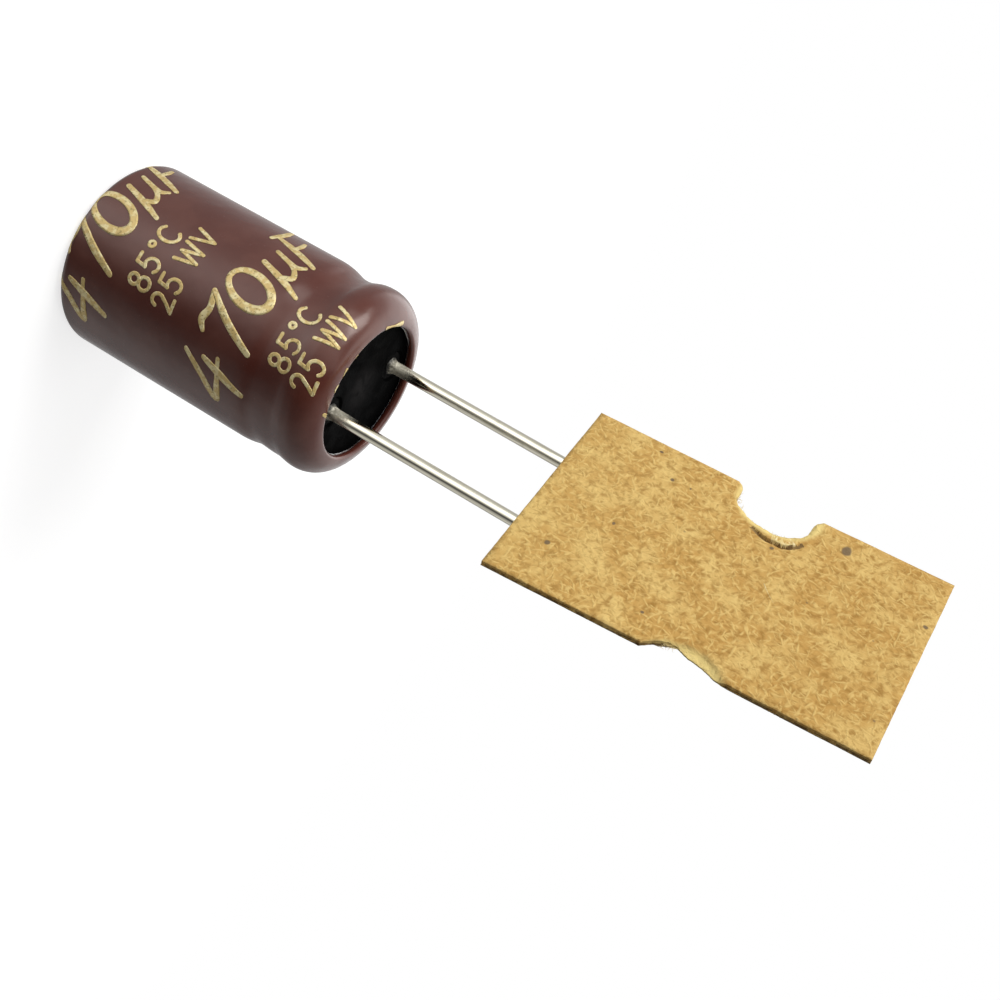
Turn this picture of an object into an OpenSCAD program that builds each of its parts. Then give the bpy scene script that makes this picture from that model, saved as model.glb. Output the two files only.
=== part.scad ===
// Radial aluminium electrolytic capacitor, standing on its closed end with its leads up.
// A cut piece of carrier card is still glued to the leads. Lengths are in millimetres.
// The origin is the centre of the resting end, +Z points to the leads and +X along their pitch.

/* [Can] */
// Outside diameter of the drawn can
can_d = 9.7; // [9.3:0.1:10.5]
// Height of the capacitor's body, over the sleeve
body_h = 15.7; // [15:0.1:21]
// Wall of the can
can_wall = 0.3; // [0.2:0.05:0.4]
// Outside radius of the rounded edge of the closed end
heel_r = 0.35; // [0.25:0.05:0.8]
// Outside radius of the curled mouth
curl_r = 1.29; // [1.1:0.01:1.4]
// Depth of the bead rolled into the can to grip the seal
bead_depth = 0.55; // [0.4:0.05:0.65]
// Radius at the floor of the bead
bead_floor_r = 0.5; // [0.4:0.05:0.7]
// Radius of the bead's shoulder on the mouth's side
bead_upper_r = 1.2; // [1:0.05:1.3]
// Radius of the bead's long shoulder on the body's side
bead_lower_r = 3; // [2.5:0.1:3.5]
// Straight band between the bead and the curled mouth
bead_land = 0.1; // [0.05:0.05:0.3]
// Length of each arm of the vent score in the closed end
score_len = 5.6; // [3:0.1:6.6]
// Width of the vent score
score_w = 0.25; // [0.15:0.05:0.5]
// Depth of the vent score
score_depth = 0.12; // [0.05:0.01:0.16]

/* [Sleeve] */
// Thickness of the shrunk sleeve
sleeve_t = 0.13; // [0.08:0.01:0.2]
// Width of the ring that the sleeve laps over the closed end
end_lap = 1.25; // [1:0.05:1.4]
// Radius of the arc in which the sleeve bridges the bead
bridge_r = 2.4; // [1.8:0.1:4]
// Depth by which the sleeve's edge tucks into the mouth
tuck = 0.22; // [0.1:0.02:0.3]

/* [Seal and leads] */
// Height of the rubber seal
bung_h = 4; // [3.6:0.1:4.4]
// Distance between the two leads
lead_pitch = 5; // [4.8:0.05:5.2]
// Diameter of the lead wire
lead_d = 0.6; // [0.5:0.05:0.7]
// Diameter of the aluminium stud that passes through the seal
stud_d = 1.5; // [1.3:0.05:1.7]
// Depth of the stud's end below the seal's outer face
stud_sink = 0.1; // [0.05:0.05:0.3]
// Diameter of the weld at the foot of a lead
weld_d = 1.15; // [0.9:0.05:1.25]
// Height of the weld cone
weld_h = 0.55; // [0.3:0.05:0.8]
// Chamfer at the cut end of a lead
lead_nip = 0.08; // [0.04:0.01:0.12]
// Chamfer round the seal's two bores
bore_chamfer = 0.12; // [0.05:0.01:0.2]

/* [Wound element] */
// Thickness of the anode foil
anode_t = 0.12; // [0.1:0.01:0.14]
// Thickness of the cathode foil
cathode_t = 0.08; // [0.06:0.01:0.1]
// Thickness of a separator paper
paper_t = 0.07; // [0.05:0.01:0.08]
// Thickness of the flattened terminal tabs
tab_t = 0.24; // [0.2:0.01:0.26]
// Width of the flattened terminal tabs
tab_w = 1.7; // [1.3:0.1:1.9]
// Clearance between the wound element and the can
element_gap = 0.15; // [0.1:0.05:0.3]
// Height by which the papers stand past the foils at each end
paper_lip = 0.5; // [0.3:0.1:0.8]
// Height between the wound element and the seal
head_gap = 0.8; // [0.6:0.1:1.2]
// Height at which the tabs end above the lower edge of the foils
tab_foot = 0.6; // [0.3:0.1:1.5]
// Height of the slope between a stud and its tab
tab_slope = 0.5; // [0.3:0.1:0.5]
// Height by which a tab reaches up into its slope
tab_root = 0.12; // [0.1:0.02:0.2]
// Thickness of the tape round the element
wrap_t = 0.06; // [0.04:0.01:0.08]

/* [Carrier card] */
// Thickness of the card
card_t = 0.32; // [0.25:0.01:0.6]
// Width of the carrier strip, along the leads
card_len = 18.4; // [17:0.1:20]
// Distance from the body's mouth to the card
card_gap = 10; // [8:0.1:14]
// Half width of the cut card at its near edge, on the side of the deep notch
card_near_left = 6.5; // [6.2:0.05:7]
// Half width of the cut card at its near edge, on the side of the shallow notch
card_near_right = 6.25; // [6.2:0.05:7]
// Half width of the cut card at its far edge, on the side of the deep notch
card_far_left = 6.65; // [6.2:0.05:7]
// Half width of the cut card at its far edge, on the side of the shallow notch
card_far_right = 5.75; // [5.6:0.05:7]
// Turn of the card in its own plane
card_skew = 3.8; // [0:0.1:6]
// Radius of a feed hole
feed_r = 2; // [1.9:0.05:2.2]
// Pitch of the feed holes along the strip
feed_pitch = 13.2; // [12.7:0.1:13.3]
// Distance from the deep notch's hole centre to the middle of the leads
feed_offset = 6.05; // [5.9:0.05:6.3]
// Distance from the card's near edge to the row of feed holes
feed_row = 9.85; // [9:0.05:10]
// Width of the adhesive tape that holds the leads down
hold_w = 12.5; // [11:0.5:13]
// Distance from the card's far edge to the adhesive tape
hold_margin = 1.5; // [1:0.1:3]
// Thickness of the adhesive tape
hold_t = 0.1; // [0.08:0.01:0.2]
// Half width of the tent that the adhesive tape forms over a lead
tent_foot = 0.9; // [0.7:0.05:1.2]
// Length of the leads past the card's near edge
lead_in = 15.4; // [12:0.1:16]

/* [Hidden] */

// Facets round small turned shapes, and round the can and its sleeve
$fn = 64;
body_fn = 96;

// Clearance between pieces that are shrunk, rolled or pressed onto each other
snug = 0.02;
// Clearance between the layers of the wound element
layer_gap = 0.03;
// Overshoot of a cutting solid past the face that it opens
over = 0.1;

lead_r = lead_d / 2;
lead_x = lead_pitch / 2;
stud_r = stud_d / 2;
weld_r = weld_d / 2;
can_r = can_d / 2;

// Heights of the can's end faces inside the sleeve
can_z = sleeve_t + snug;
can_top = body_h - sleeve_t - snug;
floor_z = can_z + can_wall;
end_hole_r = can_r - end_lap;
heel_min = 0.05;

// Curled mouth: the can's edge stops short of the top of the curl by the sleeve that tucks in past it
mouth_r = can_r - curl_r;
curl_z = can_top - curl_r;
edge_c = [mouth_r + sleeve_t + snug, curl_z + curl_r * sin(curl_end(0))];

// Height of the seal's outer face under the curl
bung_top = can_top - can_wall - snug;
bung_z = bung_top - bung_h;
stud_top = bung_top - stud_sink;

// Bead: a floor arc between two shoulder arcs that it touches
bead_upper_a = acos(1 - bead_depth / (bead_upper_r + bead_floor_r));
bead_lower_a = acos(1 - bead_depth / (bead_lower_r + bead_floor_r));
bead_upper_h = (bead_upper_r + bead_floor_r) * sin(bead_upper_a);
bead_lower_h = (bead_lower_r + bead_floor_r) * sin(bead_lower_a);
bead_z = curl_z - bead_land - bead_upper_h;
bead_floor_x = can_r - bead_depth + bead_floor_r;
upper_c = [can_r - bead_upper_r, bead_z + bead_upper_h];
lower_c = [can_r - bead_lower_r, bead_z - bead_lower_h];

// Centre of the arc in which the sleeve bridges the bead, touching both shoulders from outside
span = norm(upper_c - lower_c);
span_dir = (upper_c - lower_c) / span;
bridge_lower = bridge_r + bead_lower_r;
bridge_upper = bridge_r + bead_upper_r;
bridge_along = (bridge_lower ^ 2 - bridge_upper ^ 2 + span ^ 2) / (2 * span);
bridge_out = sqrt(bridge_lower ^ 2 - bridge_along ^ 2);
bridge_c = lower_c + span_dir * bridge_along + [span_dir[1], -span_dir[0]] * bridge_out;
bridge_upper_a = atan2(bridge_c[1] - upper_c[1], bridge_c[0] - upper_c[0]);
bridge_lower_a = atan2(bridge_c[1] - lower_c[1], bridge_c[0] - lower_c[0]);

// Wound element: anode foil, paper, cathode foil and paper, from the inside out
layer_t = [anode_t, paper_t, cathode_t, paper_t];
wind_step = anode_t + cathode_t + 2 * (paper_t + layer_gap) + 2 * layer_gap;
tab_turn = 2;
core_r = lead_x - tab_t / 2 - anode_t - layer_gap - wind_step * (tab_turn + 0.5);
anode_tab_a = 360 * tab_turn + 180;
cathode_tab_a = 360 * tab_turn;
tab_half_a = asin(tab_w / 2 / lead_x);

// Angle at which the winding starts, its angle from point to point, and the angle in which a layer
// comes down beside a tab
wind_start_a = 180;
wind_step_a = 15;
flare_a = 30;
tab_flat_a = tab_half_a + wind_step_a;
tab_flare_a = tab_flat_a + flare_a;
paper_z = floor_z + snug;
paper_h = bung_z - head_gap - paper_z;
foil_z = paper_z + paper_lip;
foil_h = paper_h - 2 * paper_lip;
tab_z = foil_z + tab_foot;
wind_room = can_r - can_wall - element_gap - core_r - layer_in(3) - paper_t - wrap_t - tab_t - 2 * layer_gap;
wind_a = floor(wind_room / wind_step * 360 / wind_step_a) * wind_step_a;

card_z = body_h + card_gap;
card_y = -lead_r - snug;
lead_end = card_z + lead_in;

// Points along an arc, from one angle to another in n steps, leaving out the first of them on request
function arc(c, r, a0, a1, n, skip = 0) =
    [for (i = [skip:n]) let (a = a0 + (a1 - a0) * i / n) [c[0] + r * cos(a), c[1] + r * sin(a)]];

// The same points in reverse order
function flip(p) = [for (i = [len(p) - 1:-1:0]) p[i]];

// Angle at which the curl ends, at a depth below the can's outer surface
function curl_end(i) = acos((sleeve_t + snug) / (curl_r - i));

// Rounded edge of the closed end at a depth below the can's outer surface
function heel(i) =
    let (r = max(heel_r - i, heel_min))
    arc([can_r - i - r, can_z + i + r], r, -90, 0, 8);

// Section of the can's side at a depth below its outer surface, from the closed end to the mouth
function can_side(i) = concat(
    heel(i),
    arc(lower_c, bead_lower_r - i, 0, bead_lower_a, 8),
    arc([bead_floor_x, bead_z], bead_floor_r + i, 180 + bead_lower_a, 180 - bead_upper_a, 10, 1),
    arc(upper_c, bead_upper_r - i, -bead_upper_a, 0, 8, 1),
    arc([mouth_r, curl_z], curl_r - i, 0, curl_end(i), 14));

// Section of the sleeve at a distance outside the can, from the hole at the closed end to the mouth
function sleeve_side(j) = concat(
    [[end_hole_r, can_z - j]],
    heel(-j),
    arc(lower_c, bead_lower_r + j, 0, bridge_lower_a, 6),
    arc(bridge_c, bridge_r - j, 180 + bridge_lower_a, 180 + bridge_upper_a, 10, 1),
    arc(upper_c, bead_upper_r + j, bridge_upper_a, 0, 6, 1),
    arc([mouth_r, curl_z], curl_r + j, 0, curl_end(0), 16),
    arc(edge_c, j, curl_end(0), 180, 6, 1),
    [[edge_c[0] - j, edge_c[1] - tuck]]);

// How far a layer is lifted over the tabs inside it, at an angle counted from the start of the winding
function bump(a) =
    abs(a) <= tab_flat_a ? 1
    : abs(a) >= tab_flare_a ? 0
    : (1 + cos(180 * (abs(a) - tab_flat_a) / flare_a)) / 2;
function over_tab(layer, a, tab_layer, tab_a) =
    let (turn = round((a - tab_a) / 360), away = a - tab_a - 360 * turn)
    (turn > 0 || (turn == 0 && layer > tab_layer)) ? (tab_t + layer_gap) * bump(away) : 0;
function lift(layer, a) = over_tab(layer, a, 0, anode_tab_a) + over_tab(layer, a, 2, cathode_tab_a);

// Sum of the layers and gaps inside a layer, within one turn
function layer_in(layer) = layer == 0 ? 0 : layer_in(layer - 1) + layer_t[layer - 1] + layer_gap;
function wind_r(layer, a) = core_r + wind_step * a / 360 + layer_in(layer) + lift(layer, a);

// Strip that follows the winding between two angles, at a height, outside a layer's inner face by rise
module wound_strip(layer, rise, t, a0, a1, z, h) {
    steps = max(2, round((a1 - a0) / wind_step_a));
    angles = [for (i = [0:steps]) a0 + (a1 - a0) * i / steps];
    inner = [for (a = angles) (wind_r(layer, a) + rise) * [cos(a), sin(a)]];
    outer = [for (a = angles) (wind_r(layer, a) + rise + t) * [cos(a), sin(a)]];
    translate([0, 0, z])
        rotate(wind_start_a)
            linear_extrude(h)
                polygon(concat(inner, flip(outer)));
}

module sleeve() {
    color("#4a211d")
        rotate_extrude($fn = body_fn)
            polygon(concat(sleeve_side(snug + sleeve_t), flip(sleeve_side(snug))));
}

module vent_score() {
    for (turn = [0, 90])
        rotate(turn)
            translate([-score_len / 2, -score_w / 2, can_z - over])
                cube([score_len, score_w, score_depth + over]);
}

module can() {
    color("#c9ccd0")
        difference() {
            rotate_extrude($fn = body_fn)
                polygon(concat([[0, can_z]], can_side(0), flip(can_side(can_wall)), [[0, floor_z]]));
            vent_score();
        }
}

// Everything inside the can, with the clearance of a pressed fit
module cavity() {
    rotate_extrude($fn = body_fn)
        polygon(concat([[0, floor_z + snug]], can_side(can_wall + snug), [[mouth_r, bung_top], [0, bung_top]]));
}

module stud_bore() {
    bore_r = stud_r + snug;
    translate([0, 0, bung_z - over])
        cylinder(r = bore_r, h = bung_h + 2 * over);
    translate([0, 0, bung_top - bore_chamfer])
        cylinder(r1 = bore_r, r2 = bore_r + bore_chamfer + over, h = bore_chamfer + over);
}

module rubber_bung() {
    color("#1b1a1a")
        difference() {
            intersection() {
                cavity();
                translate([0, 0, bung_z])
                    cylinder(r = can_r, h = bung_h + over);
            }
            for (side = [-1, 1])
                translate([side * lead_x, 0, 0])
                    stud_bore();
        }
}

// Stud through the seal, pressed flat below it and carried down into the winding as a tab
module terminal(side, layer, tab_a) {
    slope_z = bung_z - head_gap + snug;
    blade_r = wind_r(layer, tab_a) + layer_t[layer] + layer_gap;
    color("#d5d7da") {
        intersection() {
            translate([side * lead_x, 0, slope_z])
                cylinder(r = stud_r, h = stud_top - slope_z);
            rotate([90, 0, 0])
                linear_extrude(stud_d + 2 * over, center = true)
                    polygon([[side * blade_r, slope_z - over], [side * (blade_r + tab_t), slope_z - over],
                             [side * (blade_r + tab_t), slope_z],
                             [side * (lead_x + stud_r + over), slope_z + tab_slope],
                             [side * (lead_x + stud_r + over), stud_top + over],
                             [side * (lead_x - stud_r - over), stud_top + over],
                             [side * (lead_x - stud_r - over), slope_z + tab_slope],
                             [side * blade_r, slope_z]]);
        }
        wound_strip(layer, layer_t[layer] + layer_gap, tab_t, tab_a - tab_half_a, tab_a + tab_half_a, tab_z,
                    slope_z - tab_z + tab_root);
    }
}

module anode_terminal() {
    terminal(1, 0, anode_tab_a);
}

module cathode_terminal() {
    terminal(-1, 2, cathode_tab_a);
}

// Wire with its weld cone and its cut end
module lead_wire() {
    color("#b9bbb8")
        rotate_extrude()
            polygon([[0, stud_top], [weld_r, stud_top], [lead_r, stud_top + weld_h],
                     [lead_r, lead_end - lead_nip], [lead_r - lead_nip, lead_end], [0, lead_end]]);
}

module anode_lead() {
    translate([lead_x, 0, 0])
        lead_wire();
}

module cathode_lead() {
    translate([-lead_x, 0, 0])
        lead_wire();
}

module anode_foil() {
    color("#9aa0a6")
        wound_strip(0, 0, anode_t, 0, wind_a, foil_z, foil_h);
}

module inner_separator() {
    color("#d8cba8")
        wound_strip(1, 0, paper_t, 0, wind_a, paper_z, paper_h);
}

module cathode_foil() {
    color("#b4b8bc")
        wound_strip(2, 0, cathode_t, 0, wind_a, foil_z, foil_h);
}

module outer_separator() {
    color("#d8cba8")
        wound_strip(3, 0, paper_t, 0, wind_a, paper_z, paper_h);
}

// One turn of tape that holds the outer paper's end down
module element_tape() {
    color("#e8e2cf")
        wound_strip(3, paper_t + layer_gap, wrap_t, wind_a - 360 + wind_step_a, wind_a, foil_z, foil_h);
}

// Places a flat shape in the plane of the card, with its second axis along the leads
module on_card(t) {
    translate([0, card_y, card_z])
        rotate([0, -card_skew, 0])
            rotate([90, 0, 0])
                linear_extrude(t)
                    children();
}

// Outline of the cut card: the strip's two long edges and two hand cuts through the feed holes
module card_outline() {
    difference() {
        polygon([[-card_near_left, 0], [card_near_right, 0], [card_far_right, card_len],
                 [-card_far_left, card_len]]);
        for (hole_x = [-feed_offset, feed_pitch - feed_offset])
            translate([hole_x, feed_row])
                circle(r = feed_r);
        translate([-feed_offset - feed_r, feed_row - feed_r])
            square([feed_r, 2 * feed_r]);
    }
}

module carrier_card() {
    color("#c9a05a")
        on_card(card_t)
            card_outline();
}

// Line over a lead, up from the card, round the lead at radius r and down again, from foot to foot
function tent_line(x, r, base) =
    let (top_a = 180 - atan(base / tent_foot) - acos(r / norm([tent_foot, base])))
    concat([[x - tent_foot, base]], arc([x, 0], r, top_a, 180 - top_a, 10), [[x + tent_foot, base]]);

// Lower or upper face of the adhesive tape across the strip, from one edge to the other
function hold_line(rise) =
    let (half = card_near_left + card_near_right, base = card_y + rise, r = lead_r + snug + rise)
    concat([[-half, base]], tent_line(-lead_x, r, base), tent_line(lead_x, r, base), [[half, base]]);

module hold_section() {
    polygon(concat(hold_line(0), flip(hold_line(hold_t))));
}

module hold_down_tape() {
    color("#d9c79a")
        intersection() {
            translate([0, 0, card_z - card_len])
                linear_extrude(3 * card_len)
                    hold_section();
            translate([0, feed_r, 0])
                on_card(2 * feed_r)
                    intersection() {
                        card_outline();
                        translate([-card_len, card_len - hold_margin - hold_w])
                            square([2 * card_len, hold_w]);
                    }
        }
}

sleeve();
can();
rubber_bung();
anode_terminal();
cathode_terminal();
anode_lead();
cathode_lead();
anode_foil();
inner_separator();
cathode_foil();
outer_separator();
element_tape();
carrier_card();
hold_down_tape();
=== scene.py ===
"""Looks of a radial electrolytic capacitor that is still glued to a cut piece of carrier card.

Sizes are in mm and follow the solids. Finished meshes are in metres, in the solids' frame.
"""

import logging
import math
import random
from bisect import bisect_left
from dataclasses import dataclass, field, replace
from enum import Enum
from itertools import accumulate
from typing import Callable, Sequence

import bmesh
import bpy
from mathutils import Matrix, Vector, geometry, noise


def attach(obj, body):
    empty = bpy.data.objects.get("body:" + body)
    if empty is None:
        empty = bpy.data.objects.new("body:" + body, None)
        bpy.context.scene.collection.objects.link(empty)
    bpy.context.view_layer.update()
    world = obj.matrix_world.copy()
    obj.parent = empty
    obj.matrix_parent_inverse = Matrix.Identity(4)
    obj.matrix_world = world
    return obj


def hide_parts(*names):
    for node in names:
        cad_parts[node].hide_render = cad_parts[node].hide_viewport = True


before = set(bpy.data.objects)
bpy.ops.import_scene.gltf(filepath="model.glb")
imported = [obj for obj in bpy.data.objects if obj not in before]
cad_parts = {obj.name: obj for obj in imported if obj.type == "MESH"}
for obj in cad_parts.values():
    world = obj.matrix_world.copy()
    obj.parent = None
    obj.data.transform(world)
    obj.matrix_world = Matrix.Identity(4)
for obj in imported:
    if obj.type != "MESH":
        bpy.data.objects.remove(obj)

LOG = logging.getLogger("capacitor")
MM = 0.001
BODY = "root"
FULL_TURN = 2 * math.pi

Point = tuple[float, float]
Span = tuple[float, float]
Sample = tuple[float, float, float]
Colour = tuple[float, float, float]
Face = tuple[int, ...]
Height = Callable[[float, float], float]
Socket = bpy.types.NodeSocket


def arc(centre: Point, radius: float, start: float, end: float, steps: int, skip: int = 0) -> list[Point]:
    """Points along an arc.

    Args:
        centre: Centre of the arc.
        radius: Radius.
        start: First angle, in degrees.
        end: Last angle, in degrees.
        steps: Number of steps.
        skip: How many of the first points to leave out.

    Returns:
        The points in order.
    """
    angles = [math.radians(start + (end - start) * i / steps) for i in range(skip, steps + 1)]
    return [(centre[0] + radius * math.cos(a), centre[1] + radius * math.sin(a)) for a in angles]


def walk(corners: Sequence[Point], step: float) -> list[Point]:
    """Points at even steps round a closed outline of straight sides.

    Args:
        corners: The outline's corners in order.
        step: About how far apart the points are.

    Returns:
        The points in order.
    """
    points: list[Point] = []
    for a, b in zip(corners, [*corners[1:], corners[0]]):
        count = max(1, round(math.dist(a, b) / step))
        points.extend((a[0] + (b[0] - a[0]) * i / count, a[1] + (b[1] - a[1]) * i / count)
                      for i in range(count))
    return points


def polar(radius: float, angle: float, height: float) -> Vector:
    """Point at a radius, an angle in radians and a height."""
    return Vector((radius * math.cos(angle), radius * math.sin(angle), height))


def wobble(seed: float, *place: float) -> float:
    """Smooth repeatable noise from -1 to 1, at up to three coordinates in periods of the noise."""
    x, y, z = (*place, 0.0, 0.0)[:3]
    return noise.noise(Vector((x + seed, y - seed, z + 0.37 * seed)))


def smooth_step(low: float, high: float, value: float) -> float:
    """Ease from 0 at low to 1 at high."""
    t = min(1.0, max(0.0, (value - low) / (high - low)))
    return t * t * (3 - 2 * t)


def quads(near: Sequence[int], far: Sequence[int], closed: bool = True) -> list[Face]:
    """Quads between two rows of corners, which may each close on themselves."""
    steps = len(near) if closed else len(near) - 1
    return [(near[k], near[(k + 1) % len(near)], far[(k + 1) % len(near)], far[k]) for k in range(steps)]


def ring_faces(rings: int, per_ring: int, closed_path: bool, first: int = 0) -> list[Face]:
    """Quads between rings of points.

    Args:
        rings: Number of rings.
        per_ring: Points in each ring.
        closed_path: Whether the last ring joins the first.
        first: Number of the first point.

    Returns:
        The faces.
    """
    rows = [range(first + i * per_ring, first + (i + 1) * per_ring) for i in range(rings)]
    following = [*rows[1:], rows[0]] if closed_path else rows[1:]
    return [face for near, far in zip(rows, following) for face in quads(near, far)]


def new_piece(name: str, verts: list[Vector], faces: list[Face], smooth: bool = True) -> bpy.types.Object:
    """Make a mesh object, with its normals facing outward.

    Args:
        name: Name of the piece.
        verts: Its points.
        faces: Corner numbers of each face.
        smooth: Whether the faces are shaded smooth.

    Returns:
        The linked object, in metres.
    """
    mesh = bpy.data.meshes.new(name)
    mesh.from_pydata([v * MM for v in verts], [], faces)
    shape = bmesh.new()
    shape.from_mesh(mesh)
    bmesh.ops.delete(shape, geom=[v for v in shape.verts if not v.link_faces], context="VERTS")
    bmesh.ops.recalc_face_normals(shape, faces=shape.faces)
    for face in shape.faces:
        face.smooth = smooth
    shape.to_mesh(mesh)
    shape.free()
    piece = bpy.data.objects.new(name, mesh)
    bpy.context.scene.collection.objects.link(piece)
    return piece


class NodeNet:
    """Node tree of a material or of the world."""

    def __init__(self, owner: bpy.types.ID) -> None:
        """Empty the owner's tree.

        Args:
            owner: The material or world.
        """
        owner.use_nodes = True
        self.tree = owner.node_tree
        self.tree.nodes.clear()

    def feed(self, socket: Socket, value: object) -> None:
        """Link an input to another node, or set it.

        Args:
            socket: The input.
            value: An output to link to, or a number, vector or colour.
        """
        if isinstance(value, Socket):
            self.tree.links.new(value, socket)
        else:
            socket.default_value = (*value, 1.0) if socket.type == "RGBA" else value

    def add(self, kind: str, inputs: dict[str | int, object] | None = None, **options: str) -> bpy.types.Node:
        """Add a node.

        Args:
            kind: Its type, without the leading ShaderNode.
            inputs: What each input gets.
            options: Its own options.

        Returns:
            The node.
        """
        node = self.tree.nodes.new("ShaderNode" + kind)
        for name, option in options.items():
            setattr(node, name, option)
        for name, value in (inputs or {}).items():
            self.feed(node.inputs[name], value)
        return node

    def math(self, operation: str, *values: object) -> Socket:
        """Scalar maths on outputs or numbers."""
        return self.add("Math", dict(enumerate(values)), operation=operation).outputs[0]

    def times(self, a: Socket, b: object) -> Socket:
        """Product of two values."""
        return self.math("MULTIPLY", a, b)

    def plus(self, a: Socket, b: object) -> Socket:
        """Sum of two values."""
        return self.math("ADD", a, b)

    def vector(self, operation: str, a: Socket, b: object) -> Socket:
        """Vector maths on outputs or vectors."""
        return self.add("VectorMath", {0: a, 1: b}, operation=operation).outputs["Vector"]

    def length(self, a: Socket) -> Socket:
        """Length of a vector."""
        return self.add("VectorMath", {0: a}, operation="LENGTH").outputs["Value"]

    def ramp(self, value: Socket, span: Span, ends: tuple[object, object] = (0.0, 1.0)) -> Socket:
        """Map a span of a value smoothly to two ends.

        Args:
            value: The value.
            span: Where the change starts and where it stops.
            ends: What it becomes before and after, as numbers or outputs.

        Returns:
            The mapped value.
        """
        inputs = {"Value": value, "From Min": span[0], "From Max": span[1],
                  "To Min": ends[0], "To Max": ends[1]}
        return self.add("MapRange", inputs, interpolation_type="SMOOTHSTEP").outputs["Result"]

    def blend(self, share: Socket, a: object, b: Colour) -> Socket:
        """Blend a colour to a second one by a share."""
        return self.add("Mix", {"Factor": share, "A": a, "B": b}, data_type="RGBA").outputs["Result"]


@dataclass(frozen=True)
class Grain:
    """A noise pattern: waves per mm, finer layers, and how it is moved, stretched and curled."""

    scale: float
    detail: float = 2.0
    shift: float = 0.0
    stretch: Colour = (1.0, 1.0, 1.0)
    curl: float = 0.0


class Shader(NodeNet):
    """Material with one surface shader, whose patterns are laid out in the object's mm."""

    def __init__(self, name: str) -> None:
        """Start the material.

        Args:
            name: Name of the material.
        """
        self.material = bpy.data.materials.new(name)
        super().__init__(self.material)
        self.surface = self.add("BsdfPrincipled")
        self.add("OutputMaterial", {"Surface": self.surface.outputs[0]})
        self.place = self.vector("MULTIPLY", self.add("TexCoord").outputs["Object"], (1 / MM,) * 3)

    def noise(self, grain: Grain) -> Socket:
        """Read a noise pattern at the place.

        Args:
            grain: The pattern.

        Returns:
            Its values, around 0.5.
        """
        moved = self.vector("ADD", self.vector("MULTIPLY", self.place, grain.stretch),
                            (grain.shift, 0.7 * grain.shift, -grain.shift))
        inputs = {"Vector": moved, "Scale": grain.scale, "Detail": grain.detail, "Distortion": grain.curl}
        return self.add("TexNoise", inputs).outputs["Fac"]

    def warped(self, scale: float, reach: float) -> Socket:
        """The place, moved about by a smooth noise of a reach in mm."""
        cloud = self.add("TexNoise", {"Vector": self.place, "Scale": scale, "Detail": 1.0})
        return self.vector("ADD", self.place, self.vector("MULTIPLY", cloud.outputs["Color"], (reach,) * 3))

    def straws(self, place: Socket, angles: tuple[float, ...], along: float, across: float, shift: float,
               share: float) -> Socket:
        """Short fibres that lie flat in the X-Z plane.

        Args:
            place: Where the pattern is read.
            angles: The fibres' angles, in degrees.
            along: Waves per mm along a fibre.
            across: Waves per mm across it.
            shift: Moves the pattern.
            share: Noise level above which a fibre shows.

        Returns:
            1 on a fibre and 0 off it.
        """
        total = None
        for number, angle in enumerate(angles):
            turned = self.add("VectorRotate", {"Vector": place, "Angle": math.radians(angle)},
                              rotation_type="Y_AXIS")
            scaled = self.vector("MULTIPLY", turned.outputs["Vector"], (along, along, across))
            moved = self.vector("ADD", scaled, (shift + 5.3 * number, shift, -shift - 3.1 * number))
            level = self.add("TexNoise", {"Vector": moved, "Scale": 1.0, "Detail": 0.6}).outputs["Fac"]
            one = self.ramp(level, (share, share + 0.22))
            total = one if total is None else self.math("MAXIMUM", total, one)
        return total

    def bump(self, height: Socket, depth: float) -> None:
        """Raise the surface by a height, to a depth in mm."""
        node = self.add("Bump", {"Distance": depth * MM, "Height": height})
        self.set(Normal=node.outputs["Normal"])

    def set(self, **values: object) -> None:
        """Feed the surface shader's inputs by name."""
        for name, value in values.items():
            self.feed(self.surface.inputs[name.replace("_", " ")], value)


@dataclass(frozen=True)
class FilmFinish:
    """Shrunk film: dark, smooth and a little glossy, with a faint grain."""

    name: str = "finish_film"
    colour: Colour = (0.090, 0.021, 0.014)
    pale: Colour = (0.118, 0.036, 0.025)
    gloss_tint: Colour = (1.0, 0.92, 0.87)
    index: float = 1.5
    rough: float = 0.20
    sheen: float = 0.8
    sheen_rough: float = 0.18
    cloud: Grain = Grain(0.45, 3.0)
    grain: Grain = Grain(14.0, 2.0, 3.0)
    wave: Grain = Grain(0.8, 1.5, 7.0)
    relief: float = 0.035

    def build(self) -> bpy.types.Material:
        """Build the material.

        Returns:
            The material.
        """
        film = Shader(self.name)
        grain = film.noise(self.grain)
        colour = film.blend(film.ramp(film.noise(self.cloud), (0.35, 0.72)), self.colour, self.pale)
        film.set(Base_Color=colour, Roughness=film.plus(film.times(grain, 0.10), self.rough), IOR=self.index,
                 Specular_Tint=self.gloss_tint, Sheen_Weight=self.sheen, Sheen_Roughness=self.sheen_rough)
        film.bump(film.plus(film.times(grain, 0.05), film.noise(self.wave)), self.relief)
        return film.material


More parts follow.
